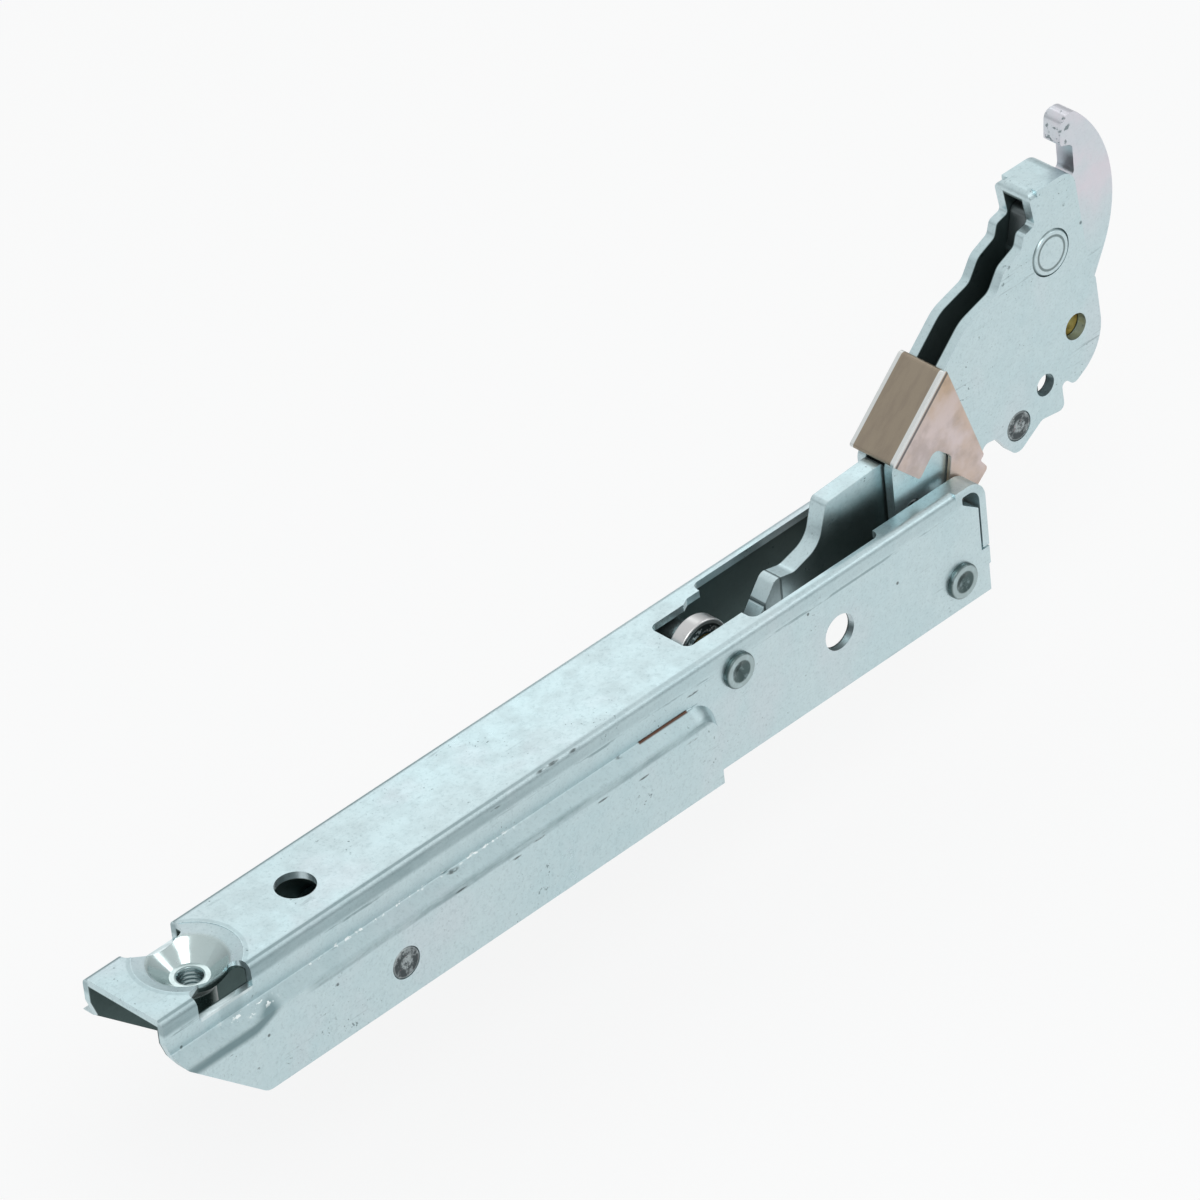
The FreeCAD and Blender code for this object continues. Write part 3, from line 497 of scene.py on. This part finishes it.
def zinc_link(look):
    """The cam link's plating, with the coined pad and its two cut marks on the upper edge, and
    painted shade low on its flat sides.
    """
    r = new_recipe("zinc_link")
    plated, rough, height = plating(r, look)
    x, y, z = r.where()
    raised_edge = z.band(*PAD_HEIGHTS)
    pad = x.span(*PAD_RUN, 0.1) * raised_edge
    marks = (x.line(PAD_RUN[0], 0.3) + x.line(PAD_RUN[1], 0.3)) * raised_edge
    # Painted shade low on the flat sides, fading out towards the left end
    flat = y.off(0.0).band(LINK_HALF - 0.2, LINK_HALF - 0.03)
    side = flat * z.fall(*LINK_SHADE_HEIGHTS) * x.band(*LINK_SHADE_START)
    hammered = r.noise(900.0, 4.0, 0.7)
    coloured = r.coats(
        plated, (pad * 0.35, look.zinc_pale), (marks.lowest(1.0) * 0.75, look.zinc_speck),
        (side * 0.8, look.inside_shade))
    raised = height + pad * (1.5 + hammered) - marks * 2.0
    return r.metal(coloured, rough + pad * 0.12, raised, look.skin_depth, DEEP_BUMP)


def zinc_hook(look):
    """The hook plate's plating: pink towards the claw, and painted shade between the lever's
    plates.
    """
    r = new_recipe("zinc_hook")
    plated, rough, height = plating(r, look)
    x, _, z = r.where()
    claw = z.band(*CLAW_HEIGHTS) * (0.45 + r.noise(120.0, 3.0).band(0.35, 0.65) * 0.4)
    sheared = z.band(*SHEARED_HEIGHTS) * x.fall(*SHEARED_END)
    sheared = sheared * r.noise(650.0, 3.0, 0.6).band(0.57, 0.64)
    # Painted shade where the plate runs between the lever's plates
    coloured = r.coats(
        plated, (claw, look.hook_pink), (sheared * 0.8, look.zinc_speck),
        (x.fall(*PLATE_EDGE) * 0.85, look.inside_shade))
    raised = height - sheared * 2.0
    return r.metal(coloured, rough, raised, look.skin_depth, FORMED_BUMP, metallic=0.85)


def formed_head(name, look, axis):
    """A riveted head: a light ring, with painted shade in the dimple and at the edge."""
    r = new_recipe(name)
    x, _, z = r.where()
    out = r.reach(x - axis[0], z - axis[1])
    smudge = r.noise(700.0, 4.0, 0.6)
    light = out.span(*HEAD_RING, 0.18) * (0.75 + smudge * 0.35)
    chatter = r.noise(2200.0, 3.0, 0.6)
    # Painted shade everywhere but the light ring: in the dimple and at the edge
    coloured = r.coats(
        r.mix(light.lowest(1.0), look.steel_shade_and_smudge[:], look.steel_bright[:]),
        (smudge.band(0.5, 0.7) * 0.3, look.zinc_cool))
    rough = 0.24 + chatter * 0.16
    return r.metal(coloured, rough, chatter + light * 0.8, 0.35, FORMED_BUMP, metallic=0.92)


def flush_rivet(look):
    """The hook's rivet, plated with the lever, with a punched ring in its head, darkened with
    painted shade along the ring and round the edge.
    """
    r = new_recipe("flush_rivet")
    plated, rough, height = plating(r, look)
    x, _, z = r.where()
    out = r.reach(x - HOOK_RIVET[0], z - HOOK_RIVET[1])
    # Painted shade along the punched ring and round the head's edge
    ring = out.line(RIVET_RING, 0.32) + out.band(RIVET_EDGE, RIVET_EDGE + 0.25)
    coloured = r.mix(ring.lowest(1.0) * 0.75, plated, look.steel_shade_and_smudge[:])
    return r.metal(coloured, rough, height - ring * 2.5, look.skin_depth, DEEP_BUMP)


def roller_steel(look):
    """The roller: a ground rim, and a dark face with bright balls between its rings."""
    r = new_recipe("roller_steel")
    x, _, z = r.where()
    out = r.reach(x - ROLLER_AXLE[0], z - ROLLER_AXLE[1])
    rim = out.band(ROLLER_RIM, ROLLER_RIM + 0.2)
    balls = r.noise(1300.0, 2.0, 0.5).band(0.5, 0.58) * out.span(*ROLLER_BALLS, 0.1)
    smudge = r.noise(400.0, 4.0, 0.6)
    coloured = r.coats(
        r.mix((rim + balls).lowest(1.0), look.pin_dark[:], look.roller_rim[:]),
        (smudge.band(0.5, 0.7) * 0.3, look.steel_shade_and_smudge))
    rough = 0.22 + smudge * 0.2
    return r.metal(coloured, rough, balls + smudge * 0.3, 0.4, DEEP_BUMP, metallic=0.92)


def turned_steel(look):
    """Bright spacers and sleeves with turning rings."""
    r = new_recipe("turned_steel")
    rings = r.noise(3200.0, 2.0, 0.5, (1.0, 0.05, 1.0))
    smudge = r.noise(420.0, 4.0, 0.6).band(0.42, 0.68)
    coloured = r.mix(smudge * 0.55, look.steel_bright[:], look.steel_shade_and_smudge[:])
    rough = 0.26 + rings * 0.12 + smudge * 0.12
    return r.metal(coloured, rough, rings, 0.25, FINE_BUMP, metallic=0.95)


def pin_end(name, look, axis, radius):
    """An unplated pin: dark end grain with a scuffed rim, a few warm spots and a painted glint at
    the middle.
    """
    r = new_recipe(name)
    x, _, z = r.where()
    out = r.reach(x - axis[0], z - axis[1])
    rim = out.band(radius - 0.5, radius - 0.25)
    grain = r.noise(1300.0, 5.0, 0.75)
    scuff = r.noise(600.0, 5.0, 0.75).band(0.5, 0.62)
    warm = r.noise(900.0, 3.0, 0.6).band(0.62, 0.7)
    # Painted highlight: a glint at the pin's middle
    glint = out.fall(0.9, 1.5) * grain.band(0.4, 0.55)
    bright = (scuff * 0.7 + rim * 0.5 + glint).lowest(1.0)
    coloured = r.coats(
        r.mix(bright, look.pin_dark[:], look.pin_scuff_and_glint[:]), (warm * 0.55, look.pin_warm))
    return r.metal(coloured, 0.3 + grain * 0.3, grain + scuff * 0.6, 0.6, END_BUMP)


def dark_steel(look):
    """Oiled, unplated pin steel with bright scuffs."""
    r = new_recipe("dark_steel")
    grain = r.noise(1400.0, 5.0, 0.7)
    scuff = r.noise(520.0, 5.0, 0.7).band(0.5, 0.68)
    coloured = r.mix(scuff, look.pin_dark[:], look.pin_scuff_and_glint[:])
    rough = 0.32 + grain * 0.25
    return r.metal(coloured, rough, grain + scuff * 0.5, 0.5, DEEP_BUMP, metallic=0.9)


def bronze_clip(look):
    """The clip's bronze plating: pink clouds on the cheeks, and a painted highlight along the fold
    with a dark line below it.
    """
    r = new_recipe("bronze_clip")
    x, y, z = r.where()
    side = y.off(0.0)
    deep = (x - CLIP_EDGE[0]) * CLIP_NORMAL[0] + (z - CLIP_EDGE[1]) * CLIP_NORMAL[1]
    top = deep.band(*CLIP_FOLD)
    # Painted highlight along the fold
    fold = top * side.band(CLIP_IN - 0.1, CLIP_IN + 0.05)
    under = deep.span(*CLIP_DARK_LINE, 0.12) * side.band(CLIP_OUT - 0.2, CLIP_OUT - 0.1)
    streak = r.noise(600.0, 4.0, 0.65, (0.25, 1.0, 0.25)).band(0.4, 0.7)
    cloud = r.noise(95.0, 4.0, 0.6).band(0.4, 0.62)
    low = side.band(CLIP_OUT - 0.3, CLIP_OUT - 0.1) * z.band(*CHEEK_FADE)
    pinker = (cloud * 0.55 + low * 0.45).lowest(1.0)
    coloured = r.coats(
        look.clip_warm[:], (pinker, look.clip_pink), (top, look.clip_brown),
        (streak * 0.3, look.clip_dull), (under * 0.8, look.pin_dark), (fold, look.fold_highlight))
    rough = 0.36 + streak * 0.12 + cloud * 0.06 - fold * 0.06
    raised = streak * (1.0 - fold)
    return r.metal(coloured, rough, raised, 0.18, FINE_BUMP, metallic=0.82)


def yellow_zinc(look):
    """Yellow passivated zinc with a faint drift of hue."""
    r = new_recipe("yellow_zinc")
    drift = r.noise(600.0, 4.0, 0.6).band(0.35, 0.7)
    coloured = r.mix(drift, look.yellow_light[:], look.yellow_deep[:])
    return r.metal(coloured, 0.3 + drift * 0.15, drift, 0.15, FINE_BUMP, metallic=0.85)


def spring_wire(look):
    """Drawn, oiled spring wire."""
    r = new_recipe("spring_wire")
    grain = r.noise(1800.0, 3.0, 0.6)
    film = r.noise(260.0, 4.0, 0.6).band(0.4, 0.7)
    coloured = r.mix(film, look.wire_grey[:], look.wire_brown[:])
    return r.metal(coloured, 0.28 + grain * 0.16, grain, 0.3, SKIN_BUMP, metallic=0.92)


def dress(names, material):
    """Gives CAD nodes one material."""
    for name in names:
        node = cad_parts[name]
        node.data.materials.clear()
        node.data.materials.append(material)
        for face in node.data.polygons:
            face.material_index = 0


def colour(name, what, default):
    return bpy.props.FloatVectorProperty(
        name=name, description=what, subtype="COLOR", size=4, min=0.0, max=1.0, default=default)


def factor(name, what, default):
    return bpy.props.FloatProperty(
        name=name, description=what, subtype="FACTOR", min=0.0, max=1.0, default=default)


def length(name, what, default):
    """A length, whose default is given in millimetres and kept in metres."""
    return bpy.props.FloatProperty(
        name=name, description=what, subtype="DISTANCE", unit="LENGTH", precision=5,
        default=default * MM)


def angle(name, what, default):
    """An angle, whose default is given in degrees and kept in radians."""
    return bpy.props.FloatProperty(
        name=name, description=what, subtype="ANGLE", unit="ROTATION",
        default=math.radians(default))


def pixels(name, what, default):
    return bpy.props.FloatProperty(name=name, description=what, subtype="PIXEL", default=default)


def power(name, what, default):
    """A lamp's power in watts."""
    return bpy.props.FloatProperty(
        name=name, description=what, subtype="POWER", unit="POWER", min=0.0, default=default)


class HingeFinishes(bpy.types.PropertyGroup):
    """Colours of the hinge's finishes, and of its painted shade and painted highlights."""

    zinc_cool: colour("Zinc, cool", "Cooler tone of the plating", (0.55, 0.71, 0.745, 1.0))
    zinc_warm: colour("Zinc, warm", "Warmer tone of the plating", (0.645, 0.77, 0.795, 1.0))
    zinc_pale: colour("Zinc, pale", "Pale worn patches", (0.74, 0.85, 0.87, 1.0))
    zinc_pink: colour("Zinc, pink", "Pink drift in the plating", (0.71, 0.71, 0.76, 1.0))
    zinc_speck: colour("Zinc, speck", "Specks and drag marks", (0.14, 0.19, 0.20, 1.0))
    # Painted shade on bends, creases, the step and the screw's bore, and the plating's dark mottle
    # and tears
    zinc_shade_and_marks: colour("Zinc, shade", "Rubbed bends and creases", (0.17, 0.26, 0.28, 1.0))
    # Painted highlights along the ledge's crease, the lip and the facets
    zinc_highlight: colour("Zinc, spark", "Bright dashes on the ledge", (0.92, 0.98, 0.98, 1.0))
    # Painted shade on inner faces: in the channel, between the lever's plates, on the hook plate
    # between them and low on the link's sides
    inside_shade: colour("Inside", "Thin plating on inner faces", (0.025, 0.055, 0.05, 1.0))
    torn_dark: colour("Torn", "Torn nicks and dashes", (0.04, 0.05, 0.05, 1.0))
    rust_line: colour("Rust", "Torn edge of the pressed step", (0.13, 0.07, 0.05, 1.0))
    dish_bright: colour("Dish", "Drawn cone round the screw hole", (0.50, 0.59, 0.58, 1.0))
    hook_pink: colour("Hook, pink", "The hook plate near its claw", (0.78, 0.71, 0.77, 1.0))
    steel_bright: colour("Steel, bright", "Light rings and sleeves", (0.42, 0.52, 0.53, 1.0))
    # Painted shade in rivet dimples, at head edges and in the hook rivet's ring, and dark smudges
    # on steel
    steel_shade_and_smudge: colour("Steel, shade", "Dimples and dark marks", (0.09, 0.13, 0.13, 1.0))
    roller_rim: colour("Roller rim", "Ground rim of the roller", (0.66, 0.66, 0.66, 1.0))
    pin_dark: colour("Pin, dark", "Unplated pins", (0.07, 0.085, 0.09, 1.0))
    # Scuffs on pins, and the painted glint at the middle of the pin ends
    pin_scuff_and_glint: colour("Pin, scuff", "Bright scuffs on pins", (0.42, 0.47, 0.48, 1.0))
    pin_warm: colour("Pin, warm", "Warm spots on pins", (0.40, 0.27, 0.28, 1.0))
    clip_warm: colour("Clip, warm", "Bronze tint of the cheeks", (0.58, 0.43, 0.31, 1.0))
    clip_pink: colour("Clip, pink", "Pink tint of the cheeks", (0.72, 0.62, 0.61, 1.0))
    clip_brown: colour("Clip, brown", "The web of the clip", (0.355, 0.295, 0.225, 1.0))
    clip_dull: colour("Clip, dull", "Drawn streaks", (0.28, 0.23, 0.19, 1.0))
    # Painted highlight along the clip's fold
    fold_highlight: colour("Fold", "Rubbed fold of the clip", (0.78, 0.80, 0.79, 1.0))
    yellow_light: colour("Yellow, light", "Lighter tone of the bushes", (0.70, 0.56, 0.20, 1.0))
    yellow_deep: colour("Yellow, deep", "Deeper tone of the bushes", (0.38, 0.28, 0.08, 1.0))
    wire_grey: colour("Wire, grey", "Spring wire", (0.34, 0.35, 0.36, 1.0))
    wire_brown: colour("Wire, brown", "Oil film on the wire", (0.22, 0.19, 0.16, 1.0))
    pink_share: factor("Pink share", "Strength of the pink drift", 0.24)
    skin_depth: factor("Skin depth", "Strength of the plating's grain", 0.35)


class HingeSpring(bpy.types.PropertyGroup):
    """Sizes of the tension spring."""

    wire: length("Wire radius", "Radius of the wire", 1.15)
    coil: length("Coil radius", "Radius of the coil to the middle of the wire", 4.55)
    turns: bpy.props.IntProperty(name="Turns", description="Turns of the coil", default=13, min=3)
    left: length("Left loop", "Middle of the left loop, from the main pivot", -132.5)
    right: length("Right loop", "Middle of the right loop, from the main pivot", -91.1)
    gap: length("Leg", "From the middle of a loop to the coil", 4.5)
    height: length("Height", "Axis above the channel's open edge", 6.8)


class HingeStudio(bpy.types.PropertyGroup):
    """Camera and light."""

    azimuth: angle("Azimuth", "Camera's bearing", -40.82)
    elevation: angle("Elevation", "Camera's height as an angle", 35.92)
    roll: angle("Roll", "Camera's roll", -6.4)
    focal: pixels("Focal length", "Focal length in pixels of the photograph's frame", 9789.5)
    distance: length("Distance", "From the main pivot to the camera", 1665.0)
    pixel_x: pixels("Pivot across", "Main pivot's place across the frame", 923.35)
    pixel_y: pixels("Pivot down", "Main pivot's place down the frame", 586.6)
    key_power: power("Key light", "Power of the key light", 4.3)
    sheen_power: power("Sheen light", "Power of the light mirrored in the web", 0.3)
    fill_power: power("Fill light", "Power of the light from the right", 1.2)


class HINGE_OT_channel(bpy.types.Operator):
    """Zinc plating on the channel, with its creases and dish"""

    bl_idname = "hinge.channel"
    bl_label = "Plate the channel"

    def execute(self, context):
        dress(("door_channel",), zinc_channel(context.scene.hinge_finishes))
        return {"FINISHED"}


class HINGE_OT_lever(bpy.types.Operator):
    """Zinc plating on the lever, its hook plate and rivet, and the shackle"""

    bl_idname = "hinge.lever"
    bl_label = "Plate the lever"

    def execute(self, context):
        look = context.scene.hinge_finishes
        dress(("lever_bracket",), zinc_lever(look))
        dress(SHACKLE_NODES, zinc_plate(look))
        dress(("hook_plate",), zinc_hook(look))
        dress(("hook_rivet",), flush_rivet(look))
        return {"FINISHED"}


class HINGE_OT_link(bpy.types.Operator):
    """Zinc plating on the cam link, and steel on its roller"""

    bl_idname = "hinge.link"
    bl_label = "Plate the link"

    def execute(self, context):
        look = context.scene.hinge_finishes
        dress(("cam_link",), zinc_link(look))
        dress(("roller",), roller_steel(look))
        return {"FINISHED"}


class HINGE_OT_pins(bpy.types.Operator):
    """Steel on axles, sleeves and pins, and yellow zinc on the bushes"""

    bl_idname = "hinge.pins"
    bl_label = "Finish pins and rivets"

    def execute(self, context):
        look = context.scene.hinge_finishes
        dress(("main_axle",), formed_head("main_head", look, MAIN_AXLE))
        dress(("roller_axle",), formed_head("roller_head", look, ROLLER_AXLE))
        dress(("spring_anchor_pin",), pin_end("anchor_end", look, ANCHOR_PIN, ANCHOR_RADIUS))
        dress(("stop_pin",), pin_end("stop_end", look, STOP_PIN, STOP_RADIUS))
        dress(SPACER_NODES, turned_steel(look))
        dress(PIN_NODES, dark_steel(look))
        dress(BUSH_NODES, yellow_zinc(look))
        return {"FINISHED"}


class HINGE_OT_clip(bpy.types.Operator):
    """Bronze tint on the lock clip"""

    bl_idname = "hinge.clip"
    bl_label = "Tint the lock clip"

    def execute(self, context):
        dress(("lock_clip",), bronze_clip(context.scene.hinge_finishes))
        return {"FINISHED"}


class HINGE_OT_spring(bpy.types.Operator):
    """The tension spring as one wire, which stretches between the channel and the shackle"""

    bl_idname = "hinge.spring"
    bl_label = "Wind the spring"

    def execute(self, context):
        s = context.scene.hinge_spring
        mesh = wire_mesh(context, wire_points(s), s.wire)
        mesh.materials.append(spring_wire(context.scene.hinge_finishes))
        spring = bpy.data.objects.new("wound_spring", mesh)
        context.scene.collection.objects.link(spring)
        height = s.height / MM
        start = place((s.left + s.gap) / MM, 0, height)
        end = place((s.right - s.gap) / MM, 0, height)
        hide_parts("tension_spring")
        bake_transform(spring)
        return {"FINISHED"}


def wire_points(s):
    """The wire's line: round the left loop, a leg, the coil, a leg and round the right loop."""
    sizes = (s.coil, s.left, s.right, s.gap, s.height)
    coil, left, right, gap, height = (size / MM for size in sizes)
    start = left + gap
    end = right - gap

    def loop(middle, degrees):
        """The point of a loop round its middle, counted from its lowest point."""
        turn = math.radians(degrees - 90.0)
        return place(middle + coil * math.cos(turn), 0, height + coil * math.sin(turn))

    arc = [LOOP_TURN * i / LOOP_STEPS for i in range(LOOP_STEPS + 1)]
    points = [loop(left, degrees - LOOP_TURN) for degrees in arc]
    points.append(place(start - LEG_LEAD, 0, height - coil))
    steps = s.turns * TURN_STEPS
    for i in range(1, steps):
        turn = 2 * math.pi * s.turns * i / steps
        x = start + (end - start) * i / steps
        points.append(place(x, coil * math.sin(turn), height - coil * math.cos(turn)))
    points.append(place(end + LEG_LEAD, 0, height - coil))
    points.extend(loop(right, degrees) for degrees in arc)
    return points


def wire_mesh(context, points, radius):
    """A smooth round wire along the points, as a mesh."""
    line = bpy.data.curves.new("spring_line", "CURVE")
    line.dimensions = "3D"
    line.bevel_depth = radius
    line.bevel_resolution = 4
    line.resolution_u = 3
    line.use_fill_caps = True
    spline = line.splines.new("NURBS")
    spline.points.add(len(points) - 1)
    for spot, point in zip(spline.points, points):
        spot.co = (*point, 1.0)
    spline.order_u = 4
    spline.use_endpoint_u = True
    holder = bpy.data.objects.new("spring_line", line)
    context.scene.collection.objects.link(holder)
    context.view_layer.update()
    graph = context.evaluated_depsgraph_get()
    mesh = bpy.data.meshes.new_from_object(holder.evaluated_get(graph))
    bpy.data.objects.remove(holder)
    mesh.name = "wound_spring"
    mesh.materials.clear()
    for face in mesh.polygons:
        face.use_smooth = True
    return mesh


class HINGE_OT_studio(bpy.types.Operator):
    """Pale floor, soft light and the camera at the photograph's angle"""

    bl_idname = "hinge.studio"
    bl_label = "Set up the studio"

    def execute(self, context):
        studio = context.scene.hinge_studio
        make_floor(context)
        make_world(context)
        make_lamps(context, studio)
        make_camera(context, studio)
        context.scene.view_settings.view_transform = "Standard"
        return {"FINISHED"}


def make_floor(context):
    """A matt floor that glows white for the camera and keeps the part's shadow."""
    half = FLOOR_HALF * MM
    low = FLOOR_Z * MM
    corners = [(-half, -half, low), (half, -half, low), (half, half, low), (-half, half, low)]
    mesh = bpy.data.meshes.new("studio_floor")
    mesh.from_pydata(corners, [], [(0, 1, 2, 3)])
    floor = bpy.data.objects.new("studio_floor", mesh)
    context.scene.collection.objects.link(floor)
    r = new_recipe("studio_floor")
    matt = r.node("ShaderNodeBsdfDiffuse", {}, {"Color": FLOOR_TONE})
    bright = r.node("ShaderNodeEmission", {}, {"Color": WHITE, "Strength": 1.0})
    direct = r.seen("Is Camera Ray") * FLOOR_GLOW + r.seen("Is Transmission Ray") * FLOOR_GLOW
    glow = direct + r.seen("Is Glossy Ray") * FLOOR_GLOSSY_GLOW
    r.mixed("ShaderNodeOutputMaterial", glow, matt, bright)
    mesh.materials.append(r.owner)


def make_world(context):
    """Light that grows with height, and a white background for the camera."""
    world = bpy.data.worlds.new("studio_world")
    context.scene.world = world
    r = Recipe(world)
    at = r.node("ShaderNodeTexCoord", out="Generated")
    rise = r.node("ShaderNodeSeparateXYZ", {}, {"Vector": at}, out="Z")
    sky = r.node("ShaderNodeValToRGB", {"stops": WORLD_STOPS}, {"Fac": rise * 0.5 + 0.5})
    soft = r.node("ShaderNodeBackground", {}, {"Color": sky, "Strength": WORLD_STRENGTH})
    white = r.node("ShaderNodeBackground", {}, {"Color": WHITE, "Strength": 1.0})
    direct = r.seen("Is Camera Ray") + r.seen("Is Transmission Ray")
    glow = direct + r.seen("Is Glossy Ray") * WORLD_GLOSSY_WHITE
    r.mixed("ShaderNodeOutputWorld", glow, soft, white)


def make_lamps(context, studio):
    """Round lamps that face the part. Each row: name, place and width in metres, power."""
    lamps = (
        ("key_light", (-0.45, -0.75, 1.1), 0.7, studio.key_power),
        ("sheen_light", (0.67, 0.82, 0.80), 0.35, studio.sheen_power),
        ("side_light", (1.0, -0.6, 0.7), 0.5, studio.fill_power),
    )
    for name, spot, width, watts in lamps:
        lamp = bpy.data.lights.new(name, "AREA")
        lamp.shape = "DISK"
        lamp.size = width
        lamp.energy = watts
        holder = bpy.data.objects.new(name, lamp)
        holder.location = spot
        holder.rotation_euler = (-Vector(spot)).to_track_quat("-Z", "Y").to_euler()
        context.scene.collection.objects.link(holder)


def make_camera(context, studio):
    """The photograph's camera, which sees the main pivot at its pixel of the frame."""
    a, e, roll = studio.azimuth, studio.elevation, studio.roll
    back = Vector((math.sin(a) * math.cos(e), -math.cos(a) * math.cos(e), math.sin(e)))
    level = Vector((math.cos(a), math.sin(a), 0.0))
    rise = back.cross(level)
    right = level * math.cos(roll) + rise * math.sin(roll)
    up = rise * math.cos(roll) - level * math.sin(roll)
    metres_per_pixel = studio.distance / studio.focal
    across = (studio.pixel_x - FRAME_PIXELS / 2.0) * metres_per_pixel
    down = (studio.pixel_y - FRAME_PIXELS / 2.0) * metres_per_pixel
    spot = place(0, 0, 0) + back * studio.distance - right * across + up * down
    lens = bpy.data.cameras.new("photo_camera")
    lens.sensor_width = SENSOR
    lens.lens = studio.focal * SENSOR / FRAME_PIXELS
    lens.clip_start, lens.clip_end = (reach * MM for reach in CAMERA_REACH)
    camera = bpy.data.objects.new("photo_camera", lens)
    turn = Matrix((right, up, back)).transposed().to_4x4()
    camera.matrix_world = Matrix.Translation(spot) @ turn
    context.scene.collection.objects.link(camera)
    context.scene.camera = camera


STEPS = (
    HINGE_OT_channel, HINGE_OT_lever, HINGE_OT_link, HINGE_OT_pins,
    HINGE_OT_clip, HINGE_OT_spring, HINGE_OT_studio,
)


class HINGE_PT_panel(bpy.types.Panel):
    """Lists the hinge's steps"""

    bl_idname = "HINGE_PT_panel"
    bl_label = "Oven door hinge"
    bl_space_type = "VIEW_3D"
    bl_region_type = "UI"
    bl_category = "Hinge"

    def draw(self, context):
        for step in STEPS:
            self.layout.operator(step.bl_idname)


CLASSES = (HingeFinishes, HingeSpring, HingeStudio) + STEPS + (HINGE_PT_panel,)
GROUPS = {
    "hinge_finishes": HingeFinishes,
    "hinge_spring": HingeSpring,
    "hinge_studio": HingeStudio,
}


def register():
    for made in CLASSES:
        bpy.utils.register_class(made)
    for name, group in GROUPS.items():
        setattr(bpy.types.Scene, name, bpy.props.PointerProperty(type=group))


def unregister():
    for name in GROUPS:
        delattr(bpy.types.Scene, name)
    for made in reversed(CLASSES):
        bpy.utils.unregister_class(made)


def main():
    register()
    bpy.ops.hinge.channel()
    bpy.ops.hinge.lever()
    bpy.ops.hinge.link()
    bpy.ops.hinge.pins()
    bpy.ops.hinge.clip()
    bpy.ops.hinge.spring()
    bpy.ops.hinge.studio()


if __name__ == "__main__":
    main()
